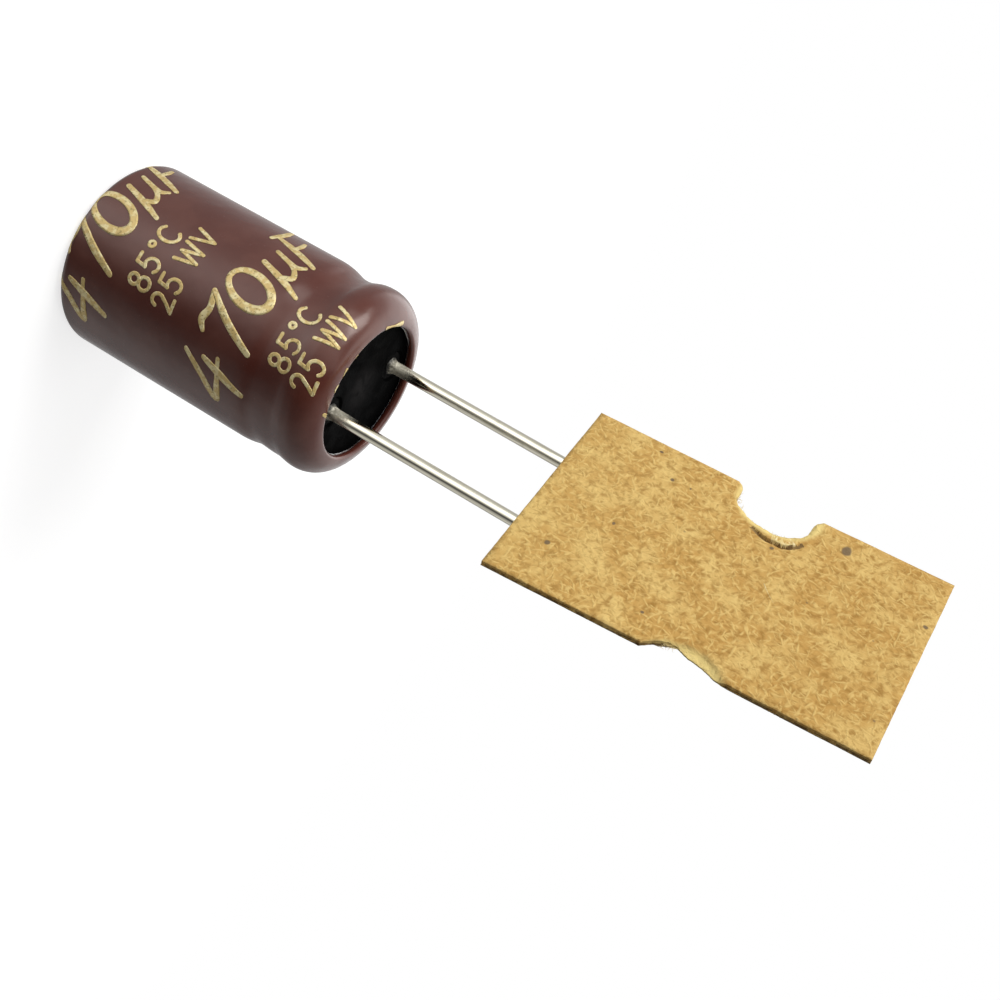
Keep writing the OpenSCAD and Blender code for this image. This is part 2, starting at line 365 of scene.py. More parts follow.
@dataclass(frozen=True)
class InkFinish:
    """Gold ink, thin and slightly speckled."""

    name: str = "finish_ink"
    colour: Colour = (0.62, 0.46, 0.18)
    bright: Colour = (0.78, 0.67, 0.36)
    dull: Colour = (0.36, 0.27, 0.10)
    metallic: float = 0.3
    rough: Span = (0.40, 0.58)
    speck: Grain = Grain(9.0, 3.0)
    lean: Grain = Grain(3.2, 2.0, 4.0)
    relief: float = 0.01

    def build(self) -> bpy.types.Material:
        """Build the material.

        Returns:
            The material.
        """
        ink = Shader(self.name)
        speck = ink.noise(self.speck)
        colour = ink.blend(ink.ramp(ink.noise(self.lean), (0.44, 0.62)), self.colour, self.bright)
        colour = ink.blend(ink.ramp(speck, (0.54, 0.70)), colour, self.dull)
        ink.set(Base_Color=colour, Metallic=self.metallic, Roughness=ink.ramp(speck, (0.3, 0.8), self.rough))
        ink.bump(speck, self.relief)
        return ink.material


@dataclass(frozen=True)
class RubberFinish:
    """Moulded black rubber, with a paler patch in the middle of the seal that is a painted sheen."""

    name: str = "finish_rubber"
    colour: Colour = (0.0010, 0.0010, 0.0010)
    painted_sheen: Colour = (0.017, 0.016, 0.016)
    sheen_at: Colour = (0.15, -0.1, 15.2)
    sheen_reach: Span = (0.3, 1.7)
    rough: Span = (0.6, 0.8)
    specular: float = 0.012
    blotch: Grain = Grain(1.3, 4.0, curl=0.6)
    pores: Grain = Grain(10.0, 2.0, 2.0)
    relief: float = 0.03

    def build(self) -> bpy.types.Material:
        """Build the material.

        Returns:
            The material.
        """
        rubber = Shader(self.name)
        blotch = rubber.noise(self.blotch)
        # Painted sheen: a paler grey patch round a point in the middle of the seal, broken up by noise,
        # stands in for a soft reflection.
        away = rubber.length(rubber.vector("SUBTRACT", rubber.place, self.sheen_at))
        sheen_share = rubber.times(rubber.ramp(away, self.sheen_reach, (1.0, 0.0)), rubber.ramp(blotch, (0.3, 0.65)))
        rubber.set(Base_Color=rubber.blend(sheen_share, self.colour, self.painted_sheen), Specular_IOR_Level=self.specular,
                   Roughness=rubber.ramp(blotch, (0.3, 0.7), self.rough))
        rubber.bump(rubber.plus(rubber.noise(self.pores), blotch), self.relief)
        return rubber.material


@dataclass(frozen=True)
class MetalFinish:
    """Bare metal with drawn or rolled marks."""

    name: str
    colour: Colour
    shade: Colour
    rough: float
    marks: Grain = Grain(5.0, 3.0, stretch=(1.0, 1.0, 0.3))
    mark_depth: float = 0.006
    metallic: float = 1.0
    specular: float = 0.5
    stain: Grain = Grain(0.9, 3.0, 5.0)

    def build(self) -> bpy.types.Material:
        """Build the material.

        Returns:
            The material.
        """
        metal = Shader(self.name)
        marks = metal.noise(self.marks)
        mixed = metal.plus(metal.times(marks, 0.6), metal.times(metal.noise(self.stain), 0.4))
        metal.set(Base_Color=metal.blend(metal.ramp(mixed, (0.42, 0.66)), self.colour, self.shade),
                  Metallic=self.metallic, Specular_IOR_Level=self.specular,
                  Roughness=metal.ramp(mixed, (0.3, 0.7), (self.rough * 0.8, self.rough * 1.3)))
        metal.bump(marks, self.mark_depth)
        return metal.material


@dataclass(frozen=True)
class LeadFinish:
    """Tinned wire: bright, with fine draw lines, and dark and rough where it was welded."""

    name: str = "finish_tin"
    colour: Colour = (0.77, 0.73, 0.60)
    streak: Colour = (0.57, 0.54, 0.43)
    mottle: Colour = (0.44, 0.41, 0.31)
    weld: Colour = (0.030, 0.028, 0.024)
    weld_span: Span = (15.40, 15.75)
    rough_span: Span = (15.50, 17.15)
    rough: Span = (0.11, 0.51)
    lines: Grain = Grain(7.0, 2.0, stretch=(2.0, 2.0, 0.05))
    stain: Grain = Grain(1.6, 3.0, 5.0)
    grit: Grain = Grain(8.0, 3.0, 2.0)
    relief: float = 0.03

    def build(self) -> bpy.types.Material:
        """Build the material.

        Returns:
            The material.
        """
        tin = Shader(self.name)
        lines, grit = tin.noise(self.lines), tin.noise(self.grit)
        colour = tin.blend(tin.ramp(lines, (0.50, 0.66), (0.0, 0.7)), self.colour, self.streak)
        colour = tin.blend(tin.ramp(tin.noise(self.stain), (0.58, 0.74), (0.0, 0.5)), colour, self.streak)
        up = tin.add("SeparateXYZ", {0: tin.place}).outputs["Z"]
        height = tin.plus(up, tin.times(grit, 0.5))
        spatter = tin.ramp(height, self.rough_span, (1.0, 0.0))
        colour = tin.blend(tin.times(spatter, tin.ramp(grit, (0.42, 0.62), (0.75, 0.0))), colour, self.mottle)
        smooth, coarse = self.rough
        tin.set(Base_Color=tin.blend(tin.ramp(height, self.weld_span, (1.0, 0.0)), colour, self.weld),
                Metallic=tin.math("SUBTRACT", 1.0, tin.times(spatter, 0.7)),
                Roughness=tin.plus(tin.times(spatter, coarse - smooth), smooth))
        tin.bump(tin.plus(tin.times(lines, 0.1), tin.times(grit, spatter)), self.relief)
        return tin.material


@dataclass(frozen=True)
class KraftFinish:
    """Recycled card or paper: mottled, with short pale and dark fibres and dark specks, and painted light and
    shade that make it paler towards the bottom and darker towards the top.

    A mark is a place in X and Z, a radius and a flattening. A hole has a pale worn ring round it.
    """

    name: str = "finish_card"
    colour: Colour = (0.540, 0.312, 0.086)
    pale: Colour = (0.755, 0.535, 0.192)
    dark: Colour = (0.330, 0.172, 0.036)
    speck: Colour = (0.170, 0.120, 0.070)
    along: float = 2.1
    across: float = 5.6
    relief: float = 0.018
    bend: float = 0.2
    rough: float = 0.86
    specular: float = 0.2
    cloud: Grain = Grain(0.5, 3.0, 1.0)
    mottle: Grain = Grain(2.4, 3.0, 11.0)
    dark_angles: tuple[float, ...] = (21.0, 64.0, 103.0, 146.0)
    pale_angles: tuple[float, ...] = (4.0, 42.0, 79.0, 118.0, 160.0)
    marks: tuple[tuple[float, float, float, float], ...] = ()
    marks_at: float = -0.64
    holes: tuple[Point, ...] = ()
    ring: Span = (2.05, 2.38)
    rim: Colour = (0.86, 0.69, 0.27)

    def build(self) -> bpy.types.Material:
        """Build the material.

        Returns:
            The material.
        """
        card = Shader(self.name)
        mottle = card.noise(self.mottle)
        bent, shift = card.warped(1.3, self.bend), 0.5 * self.bend
        dark_straws = card.straws(bent, self.dark_angles, self.along, self.across, 4.0, 0.58)
        pale_straws = card.straws(bent, self.pale_angles, self.along, self.across, 31.0, 0.57)
        up = card.add("SeparateXYZ", {0: card.place}).outputs["Z"]
        scattered = card.vector("ADD", card.place, (2.5,) * 3)
        dots = card.add("TexVoronoi", {"Vector": scattered, "Scale": 1.1}).outputs
        spots = card.times(card.ramp(dots["Distance"], (0.04, 0.12), (1.0, 0.0)),
                           card.ramp(dots["Color"], (0.86, 0.88)))
        colour: object = self.colour
        for share, tone in ((card.ramp(card.noise(self.cloud), (0.40, 0.66), (0.0, 0.76)), self.pale),
                            (card.ramp(mottle, (0.44, 0.70), (0.0, 0.76)), self.dark),
                            (card.times(dark_straws, 0.62), self.dark),
                            (card.times(pale_straws, 0.80), self.pale),
                            # Painted light and shade: the colour turns paler towards the bottom and darker
                            # towards the top, as the light falls off along the card.
                            (card.ramp(up, (25.0, 34.0), (0.16, 0.0)), self.pale),
                            (card.ramp(up, (30.0, 46.0), (0.0, 0.14)), self.dark),
                            (card.times(spots, 0.8), self.speck)):
            colour = card.blend(share, colour, tone)
        for x, z, radius, flat in self.marks:
            away = card.vector("SUBTRACT", bent, (x + shift, self.marks_at + shift, z + shift))
            away = card.length(card.vector("MULTIPLY", away, (1 / radius, 2.0, flat / radius)))
            colour = card.blend(card.ramp(away, (0.75, 1.25), (0.9, 0.0)), colour, self.speck)
        for x, z in self.holes:
            away = card.vector("SUBTRACT", bent, (x + shift, 0.0, z + shift))
            away = card.length(card.vector("MULTIPLY", away, (1.0, 0.0, 1.0)))
            colour = card.blend(card.ramp(away, self.ring, (0.75, 0.0)), colour, self.rim)
        card.set(Base_Color=colour, Roughness=self.rough, Specular_IOR_Level=self.specular)
        height = card.plus(card.times(pale_straws, 0.9), card.times(mottle, 0.7))
        card.bump(card.math("SUBTRACT", height, card.times(dark_straws, 0.6)), self.relief)
        return card.material


class Finishes(Enum):
    """The finishes of the part."""

    FILM = FilmFinish()
    INK = InkFinish()
    RUBBER = RubberFinish()
    # The stud tops in the seal's recess are coloured nearly black and matt instead of aluminium: painted
    # shade, partly real staining.
    STUD = MetalFinish("finish_stud_painted_shade", (0.0030, 0.0028, 0.0026), (0.0012, 0.0012, 0.0012), 0.7, metallic=0.0,
                       specular=0.03)
    CAN = MetalFinish("finish_can", (0.80, 0.81, 0.82), (0.62, 0.63, 0.65), 0.32)
    TIN = LeadFinish()
    FOIL = MetalFinish("finish_foil", (0.60, 0.61, 0.63), (0.42, 0.43, 0.45), 0.55, Grain(8.0, 3.0), 0.01)
    CARD = KraftFinish(
        marks=((-6.21, 38.85, 0.31, 1.5), (-3.83, 35.96, 0.10, 1.0), (-4.59, 30.21, 0.12, 1.3),
               (3.26, 27.88, 0.15, 1.2), (3.98, 33.17, 0.08, 1.0), (0.02, 29.54, 0.09, 1.0),
               (-4.24, 43.60, 0.10, 1.0), (-6.02, 28.84, 0.09, 0.8), (-4.69, 31.20, 0.07, 1.4)),
        holes=((-6.69, 35.13), (6.48, 36.00)))
    # Painted shade: the dark finish for the back part of the cut edges and for the split's groove.
    CUT_EDGE = KraftFinish("finish_card_edge_painted_shade", (0.215, 0.128, 0.046), (0.37, 0.245, 0.095),
                           (0.105, 0.058, 0.020))
    TORN = KraftFinish("finish_torn_fibre", (0.72, 0.55, 0.22), (0.92, 0.80, 0.47), (0.48, 0.31, 0.09))
    TAPE = KraftFinish("finish_tape", (0.56, 0.40, 0.19), (0.74, 0.60, 0.35), (0.38, 0.25, 0.10),
                       (0.20, 0.13, 0.06), 1.6, 10.0, 0.015)
    PAPER = KraftFinish("finish_paper", (0.74, 0.66, 0.50), (0.84, 0.78, 0.64), (0.60, 0.50, 0.36),
                        (0.40, 0.32, 0.22), 1.6, 10.0, 0.01)

    def material(self) -> bpy.types.Material:
        """Return the built material, making it on its first use."""
        return bpy.data.materials.get(self.value.name) or self.value.build()


def settle(piece: bpy.types.Object, finish: Finishes, slot: str, *nodes: str) -> None:
    """Dress a piece, tie it to the body and let it stand for the given CAD nodes.

    Args:
        piece: The finished piece.
        finish: Its finish.
        slot: The record's material slot; not used.
        nodes: The CAD nodes that it replaces.
    """
    piece.data.materials.clear()
    piece.data.materials.append(finish.material())
    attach(piece, BODY)
    if nodes:
        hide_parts(*nodes)
    LOG.info("%s: %d faces", piece.name, len(piece.data.polygons))


@dataclass
class BodySkin:
    """The shrunk sleeve as a fine turned mesh, and the surface that its print lies on.

    Where the film shrank less on one side it is slack: it stands out over the bead by slack_reach at the
    angle slack_side, round the height slack_at. A wander is the seed and reach of a cut edge's waves.
    """

    radius: float = 5.0
    height: float = 15.7
    film: float = 0.13
    snug: float = 0.02
    end_hole: float = 3.6
    heel: float = 0.35
    heel_steps: int = 12
    tuck: float = 0.22
    curl: float = 1.29
    bead_depth: float = 0.55
    bead_floor: float = 0.5
    bead_upper: float = 1.2
    bead_lower: float = 3.0
    bead_land: float = 0.1
    bridge: float = 2.4
    slack_at: float = 12.85
    slack_half: float = 1.05
    slack_reach: float = 0.17
    slack_side: float = 40.0
    mouth_wander: Point = (2.3, 0.085)
    end_wander: Point = (8.1, 0.16)
    mouth_inward: float = 0.35
    around: int = 288
    outline: list[Point] = field(default_factory=list)
    lengths: list[float] = field(default_factory=list)

    def __post_init__(self) -> None:
        """Work out the outer section and its running length, which equals the height on the straight wall."""
        self.outline = self.section(self.film + self.snug)
        steps = [math.dist(a, b) for a, b in zip(self.outline, self.outline[1:])]
        wall_from = self.film + self.snug + self.heel
        self.lengths = list(accumulate(steps, initial=wall_from - sum(steps[:self.heel_steps + 1])))

    def section(self, out: float) -> list[Point]:
        """Section of the sleeve.

        Args:
            out: Distance from the can's surface.

        Returns:
            Points as radius and height, from the closed end to the mouth.
        """
        rise, edge = self.film + self.snug, self.radius - self.film - self.snug
        curl_z = self.height - rise - self.curl
        curl_turn = math.acos(rise / self.curl)
        curl_end = math.degrees(curl_turn)
        rim = (edge - self.curl + rise, curl_z + self.curl * math.sin(curl_turn))
        reaches = (self.bead_upper + self.bead_floor, self.bead_lower + self.bead_floor)
        upper_span, lower_span = (r * math.sin(math.acos(1 - self.bead_depth / r)) for r in reaches)
        bead_z = curl_z - self.bead_land - upper_span
        upper = Vector((edge - self.bead_upper, bead_z + upper_span))
        lower = Vector((edge - self.bead_lower, bead_z - lower_span))
        far, near = self.bridge + self.bead_lower, self.bridge + self.bead_upper
        apart = (upper - lower).length
        along = (far ** 2 - near ** 2 + apart ** 2) / (2 * apart)
        line = (upper - lower) / apart
        hub = lower + line * along + Vector((line.y, -line.x)) * math.sqrt(far ** 2 - along ** 2)
        turn_low, turn_high = (math.degrees(math.atan2(hub.y - p.y, hub.x - p.x)) for p in (lower, upper))
        return ([(self.end_hole, rise - out)]
                + arc((edge - self.heel, rise + self.heel), self.heel + out, -90, 0, self.heel_steps)
                + arc(tuple(lower), self.bead_lower + out, 0, turn_low, 12)
                + arc(tuple(hub), self.bridge - out, 180 + turn_low, 180 + turn_high, 20, 1)
                + arc(tuple(upper), self.bead_upper + out, turn_high, 0, 10, 1)
                + arc((edge - self.curl, curl_z), self.curl + out, 0, curl_end, 20)
                + arc(rim, out, curl_end, 180, 8, 1)
                + [(rim[0] - out, rim[1] - self.tuck)])

    def slack(self, angle: float, height: float) -> float:
        """How far the film stands out over the bead, at an angle in degrees and a height."""
        near = max(0.0, 1 - ((height - self.slack_at) / self.slack_half) ** 2) ** 2
        return near * self.slack_reach * 0.5 * (1 + math.cos(math.radians(angle - self.slack_side)))

    def edge_wave(self, angle: float, wander: Point) -> float:
        """How far a cut edge strays from a circle, at an angle in radians."""
        c, s = math.cos(angle), math.sin(angle)
        return wander[1] * (wobble(wander[0], 1.6 * c, 1.6 * s) + 0.45 * wobble(wander[0] + 4, 6 * c, 6 * s))

    def on_skin(self, angle: float, length: float, lift: float = 0.0) -> Vector:
        """Point on the sleeve.

        Args:
            angle: Angle about the axis, in degrees.
            length: Running length along the section.
            lift: Distance above the film.

        Returns:
            The point.
        """
        length = min(self.lengths[-1], max(self.lengths[0], length))
        index = bisect_left(self.lengths, length, 1)
        a, b = self.outline[index - 1], self.outline[index]
        gap = max(1e-9, self.lengths[index] - self.lengths[index - 1])
        t = (length - self.lengths[index - 1]) / gap
        slope = Vector((b[0] - a[0], b[1] - a[1])).normalized()
        r = a[0] + (b[0] - a[0]) * t + slope.y * lift
        z = a[1] + (b[1] - a[1]) * t - slope.x * lift
        return polar(r + self.slack(angle, z), math.radians(angle), z)

    def build(self) -> None:
        """Make the sleeve, with wandering cut edges."""
        path = [*self.outline, *reversed(self.section(self.snug + 0.01))]
        mouth = len(self.outline)
        verts = []
        for index, (r, z) in enumerate(path):
            for k in range(self.around):
                angle = FULL_TURN * k / self.around
                edge = up = 0.0
                if index in (0, len(path) - 1):
                    edge = self.edge_wave(angle, self.end_wander)
                elif index in (mouth - 1, mouth):
                    wave = self.edge_wave(angle, self.mouth_wander)
                    edge, up = self.mouth_inward * wave, abs(wave)
                verts.append(polar(r + edge + self.slack(math.degrees(angle), z), angle, z + up))
        piece = new_piece("shrunk_sleeve", verts, ring_faces(len(path), self.around, True))
        settle(piece, Finishes.FILM, "sleeve_film", "sleeve")


@dataclass(frozen=True)
class Stroke:
    """One pen stroke of a printed character: points in parts of the capital height, with half widths."""

    points: tuple[Sample, ...]

    def path(self, step: float) -> list[Sample]:
        """Smooth the stroke through its points.

        Args:
            step: Largest distance between two samples.

        Returns:
            Samples of place and half width.
        """
        pts = [Vector(p) for p in self.points]
        if len(pts) == 2:
            pts.insert(1, (pts[0] + pts[1]) / 2)
        ends = [2 * pts[0] - pts[1], *pts, 2 * pts[-1] - pts[-2]]
        out = []
        for p0, p1, p2, p3 in zip(ends, ends[1:], ends[2:], ends[3:]):
            count = max(2, math.ceil((p2 - p1).length / step))
            for t in (i / count for i in range(count)):
                out.append(0.5 * (2 * p1 + (p2 - p0) * t + (2 * p0 - 5 * p1 + 4 * p2 - p3) * t ** 2
                                  + (3 * p1 - p0 - 3 * p2 + p3) * t ** 3))
        return [tuple(p) for p in (*out, pts[-1])]


def plain(*points: Point, width: float = 0.075) -> Stroke:
    """Stroke of one half width through points."""
    return Stroke(tuple((x, y, width) for x, y in points))


def bow(cx: float, cy: float, rx: float, ry: float, start: float, end: float, width: float = 0.075,
        swell: float = 0.0) -> Stroke:
    """Stroke along part of an ellipse.

    Args:
        cx: Centre across the character.
        cy: Centre up the character.
        rx: Radius across.
        ry: Radius up.
        start: First angle, in degrees.
        end: Last angle, in degrees.
        width: Half width at its ends.
        swell: How much thicker it is in its middle.

    Returns:
        The stroke.
    """
    steps = max(6, round(abs(end - start) / 24))
    points = []
    for i in range(steps + 1):
        a = math.radians(start + (end - start) * i / steps)
        points.append((cx + rx * math.cos(a), cy + ry * math.sin(a),
                       width + swell * math.sin(math.pi * i / steps)))
    return Stroke(tuple(points))


Alphabet = dict[str, tuple[float, list[Stroke]]]

SMALL_SIGNS: Alphabet = {
    "8": (0.78, [bow(0.30, 0.27, 0.25, 0.25, 90, 450), bow(0.30, 0.75, 0.20, 0.21, -90, 270)]),
    "5": (0.78, [plain((0.52, 0.97), (0.36, 0.97), (0.16, 0.97)),
                 plain((0.16, 0.97), (0.14, 0.78), (0.11, 0.56)),
                 bow(0.27, 0.32, 0.26, 0.30, 128, -140)]),
    "degree": (0.50, [bow(0.20, 0.82, 0.11, 0.12, 0, 360, 0.07)]),
    "C": (0.84, [bow(0.36, 0.50, 0.31, 0.46, 48, 312)]),
    "2": (0.76, [bow(0.29, 0.72, 0.23, 0.25, 170, -30), plain((0.49, 0.60), (0.30, 0.30), (0.07, 0.03)),
                 plain((0.07, 0.03), (0.30, 0.03), (0.56, 0.03))]),
    "W": (0.98, [plain((0.02, 0.97), (0.11, 0.50), (0.20, 0.03)),
                 plain((0.20, 0.03), (0.31, 0.45), (0.42, 0.90)),
                 plain((0.42, 0.90), (0.53, 0.45), (0.64, 0.03)),
                 plain((0.64, 0.03), (0.73, 0.50), (0.82, 0.97))]),
    "V": (0.80, [plain((0.04, 0.97), (0.18, 0.50), (0.32, 0.03)),
                 plain((0.32, 0.03), (0.46, 0.50), (0.60, 0.97))]),
    "space": (0.40, []),
}

LARGE_SIGNS: Alphabet = {
    "4": (0.92, [Stroke(((0.56, 1.02, 0.045), (0.32, 0.66, 0.062), (0.06, 0.36, 0.075), (0.34, 0.33, 0.055),
                         (0.78, 0.40, 0.04))),
                 Stroke(((0.64, 0.66, 0.05), (0.56, 0.28, 0.078), (0.47, -0.14, 0.05)))]),
    "7": (0.74, [Stroke(((0.10, 0.84, 0.04), (0.24, 0.93, 0.066), (0.46, 0.88, 0.06), (0.72, 0.96, 0.05))),
                 Stroke(((0.72, 0.96, 0.05), (0.46, 0.48, 0.072), (0.26, -0.06, 0.055)))]),
    "0": (0.74, [bow(0.36, 0.46, 0.27, 0.44, 70, 434, 0.045, 0.035)]),
    "micro": (0.62, [Stroke(((0.16, 0.62, 0.05), (0.09, 0.14, 0.06), (0.01, -0.24, 0.04))),
                     Stroke(((0.12, 0.18, 0.04), (0.24, 0.03, 0.055), (0.42, 0.20, 0.045),
                             (0.50, 0.62, 0.04))),
                     Stroke(((0.48, 0.50, 0.045), (0.45, 0.16, 0.05), (0.56, 0.02, 0.035)))]),
    "F": (0.70, [Stroke(((0.22, 0.92, 0.045), (0.16, 0.45, 0.07), (0.06, -0.04, 0.045))),
                 Stroke(((0.08, 0.96, 0.04), (0.40, 0.92, 0.06), (0.74, 1.00, 0.04))),
                 Stroke(((0.18, 0.50, 0.035), (0.36, 0.50, 0.05), (0.54, 0.55, 0.035)))]),
}


@dataclass(frozen=True)
class PrintRow:
    """One printed row that runs round the body, its letter tops towards the closed end."""

    signs: tuple[str, ...]
    alphabet: Alphabet
    start_angle: float
    baseline: float
    size: float
    slant: float = 0.0


@dataclass
class SleevePrint:
    """Generic rating print in gold ink, repeated along the body, and the polarity stripe."""

    skin: BodySkin
    rows: tuple[PrintRow, ...] = (
        PrintRow(("4", "7", "0", "micro", "F"), LARGE_SIGNS, 371.0, 11.25, 2.95, 0.16),
        PrintRow(("8", "5", "degree", "C"), SMALL_SIGNS, 331.0, 13.75, 1.28),
        PrintRow(("2", "5", "space", "W", "V"), SMALL_SIGNS, 334.5, 15.35, 1.28))
    repeats: tuple[float, ...] = (0.0, -8.5, 8.05)
    ink: float = 0.012
    layer: float = 0.0007
    lip_from: float = 14.3
    ribs: tuple[float, ...] = (-1.0, -0.5, 0.0, 0.5, 1.0)
    step: float = 0.035
    margins: Span = (0.25, 0.05)
    stripe_angle: float = 180.0
    stripe_half: float = 15.0
    stripe_cells: int = 24
    stripe_step: float = 0.1
    stripe_span: Span = (0.9, 12.2)
    bar_length: float = 0.495
    bar_pitch: float = 2.8
    bar_half: float = 5.0

    def ribbon(self, path: list[Sample], row: PrintRow, offset: float, level: int) -> list[list[Vector]]:
        """Cross rows of points along one stroke, laid on the sleeve.

        Args:
            path: Samples of the stroke, in parts of the row's size.
            row: The row that it belongs to.
            offset: The stroke's place along the row.
            level: Number of the stroke, which keeps crossing strokes apart.

        Returns:
            For each sample, its points across the stroke, or an empty list past the film's edge.
        """
        low, high = self.skin.lengths[0] + self.margins[0], self.skin.lengths[-1] - self.margins[1]
        ribs = []
        for index, (x, y, half) in enumerate(path):
            before, after = path[max(0, index - 1)], path[min(len(path) - 1, index + 1)]
            along = Vector((after[0] - before[0], after[1] - before[1]))
            along = along.normalized() if along.length > 1e-9 else Vector((1.0, 0.0))
            half *= 1 + 0.10 * wobble(3.0 + level, x * 7, y * 7, offset)
            rib = []
            for side in self.ribs:
                px, py = x - along.y * half * side, y + along.x * half * side
                run = offset + (px + row.slant * py) * row.size
                length = row.baseline - py * row.size
                if low < length < high:
                    angle = row.start_angle - math.degrees(run / self.skin.radius)
                    rib.append(self.skin.on_skin(angle, length, self.ink + self.layer * level))
            ribs.append(rib if len(rib) == len(self.ribs) else [])
        return ribs

    def caps(self, path: list[Sample]) -> list[Sample]:
        """Round the two ends of a stroke.

        Args:
            path: Samples of the stroke.

        Returns:
            The samples with more at both ends, which narrow to a point.
        """
        first, second = Vector(path[0][:2]), Vector(path[1][:2])
        last, prior = Vector(path[-1][:2]), Vector(path[-2][:2])
        out_start, out_end = (first - second).normalized(), (last - prior).normalized()
        head, tail = [], []
        for turn in (80, 60, 40, 20):
            reach, width = math.sin(math.radians(turn)), math.cos(math.radians(turn))
            head.append((*(first + out_start * path[0][2] * reach), path[0][2] * width))
            tail.insert(0, (*(last + out_end * path[-1][2] * reach), path[-1][2] * width))
        return [*head, *path, *tail]

    def build_row(self, name: str, row: PrintRow) -> None:
        """Make one row as a thin raised skin of ink.

        Args:
            name: Name of the piece.
            row: The row.
        """
        verts: list[Vector] = []
        faces: list[Face] = []
        offset, level, wide = 0.0, 0, len(self.ribs)
        for sign in row.signs:
            advance, strokes = row.alphabet[sign]
            for stroke in strokes:
                level += 1
                ribs = self.ribbon(self.caps(stroke.path(self.step)), row, offset, level)
                for a, b in zip(ribs, ribs[1:]):
                    if a and b:
                        start = len(verts)
                        middle, end = start + wide, start + 2 * wide
                        verts.extend(a + b)
                        faces.extend(quads(range(start, middle), range(middle, end), False))
            offset += advance * row.size
        if faces:
            self.finish_ink(name, verts, faces)

    def finish_ink(self, name: str, verts: list[Vector], faces: list[Face]) -> None:
        """Join strips of ink, give them their thickness and dress them.

        Args:
            name: Name of the piece.
            verts: The strips' points.
            faces: The strips' faces.
        """
        piece = new_piece(name, verts, faces)
        shape = bmesh.new()
        shape.from_mesh(piece.data)
        bmesh.ops.remove_doubles(shape, verts=shape.verts, dist=1e-7)
        middle = Vector((0.0, 0.0, 0.5 * self.skin.height * MM))
        for face in shape.faces:
            if face.normal.dot(face.calc_center_median() - middle) < 0:
                face.normal_flip()
        shape.to_mesh(piece.data)
        shape.free()
        solid = piece.modifiers.new("thickness", "SOLIDIFY")
        solid.thickness, solid.offset = self.ink * MM, -1.0
        bpy.context.view_layer.update()
        baked = bpy.data.meshes.new_from_object(piece.evaluated_get(bpy.context.evaluated_depsgraph_get()))
        piece.modifiers.clear()
        piece.data = baked
        for face in baked.polygons:
            x, y, z = face.center
            outward = Vector((x, y, max(0.0, z - self.lip_from * MM) * 3)).normalized()
            face.use_smooth = abs(face.normal.dot(outward)) > 0.6
        settle(piece, Finishes.INK, "sleeve_film")

    def build_stripe(self) -> None:
        """Make the polarity stripe on the cathode's side, with open bars where the film shows."""
        low, high = self.stripe_span
        half = self.stripe_cells // 2
        across = [self.stripe_angle + self.stripe_half * s / half for s in range(-half, half + 1)]
        steps = round((high - low) / self.stripe_step)
        verts = [self.skin.on_skin(a, low + (high - low) * i / steps, self.ink)
                 for i in range(steps + 1) for a in across]
        faces: list[Face] = []
        for i in range(steps):
            z = low + (high - low) * (i + 0.5) / steps
            in_bar = (z - low - self.bar_pitch / 2) % self.bar_pitch < self.bar_length
            near, far = (range(row * len(across), (row + 1) * len(across)) for row in (i, i + 1))
            for k, face in enumerate(quads(near, far, False)):
                away = abs(across[k] + across[k + 1] - 2 * self.stripe_angle)
                if not (in_bar and away < 2 * self.bar_half):
                    faces.append(face)
        self.finish_ink("print_polarity_stripe", verts, faces)

    def build(self) -> None:
        """Make every row of every repeat, and the stripe."""
        for number, shift in enumerate(self.repeats, 1):
            for line, row in enumerate(self.rows, 1):
                self.build_row(f"print_row_{number}_{line}", replace(row, baseline=row.baseline + shift))
        self.build_stripe()


@dataclass
class LeadWires:
    """The two tinned leads as fine turned meshes with rough weld cones."""

    pitch: float = 5.0
    radius: float = 0.314
    weld_radius: float = 0.47
    weld_height: float = 0.55
    weld_steps: int = 14
    weld_fall: float = 2.6
    weld_rough: float = 0.16
    weld_fade: Span = (0.35, 0.9)
    nip: float = 0.01
    foot: float = 15.13
    end: float = 41.1
    chamfer: float = 0.08
    sections: int = 19
    section_step: float = 1.2
    around: int = 40

    def profile(self) -> list[Point]:
        """Work out a lead's section.

        Returns:
            Radius and height along it, from its weld to its cut end.
        """
        bottom, top = self.foot + 0.01, self.foot + self.weld_height
        cone = [(0.0, bottom), (self.weld_radius, bottom)]
        for t in (i / self.weld_steps for i in range(1, self.weld_steps + 1)):
            extra = (self.weld_radius - self.radius) * (1 - t) ** self.weld_fall
            cone.append((self.radius + extra, self.foot + self.weld_height * t))
        rise = [(self.radius, top + self.section_step * i) for i in range(1, self.sections + 1)]
        return [*cone, *rise, (self.radius, self.end - self.chamfer), (self.radius - self.chamfer, self.end),
                (0.0, self.end)]

    def build_lead(self, name: str, x: float, seed: float, node: str) -> None:
        """Make one lead and its weld.

        Args:
            name: Name of the piece.
            x: Its place along the pitch.
            seed: Shifts its surface noise.
            node: The CAD node that it replaces.
        """
        verts = []
        line = self.profile()
        for r, z in line:
            weld = 1 - smooth_step(self.foot + self.weld_fade[0], self.foot + self.weld_fade[1], z)
            for k in range(self.around):
                a = FULL_TURN * k / self.around
                rough = 1 + self.weld_rough * weld * wobble(seed, 2 * math.cos(a), 2 * math.sin(a), 3 * z)
                grip = 1 - self.nip * wobble(seed + 5, math.cos(a), math.sin(a), 0.8 * z)
                reach = r * rough * grip
                verts.append(Vector((x + reach * math.cos(a), reach * math.sin(a), z)))
        piece = new_piece(name, verts, ring_faces(len(line), self.around, False))
        settle(piece, Finishes.TIN, "lead_tin", node)

    def build(self) -> None:
        """Make both leads."""
        self.build_lead("tinned_lead_anode", self.pitch / 2, 1.0, "anode_lead")
        self.build_lead("tinned_lead_cathode", -self.pitch / 2, 6.0, "cathode_lead")


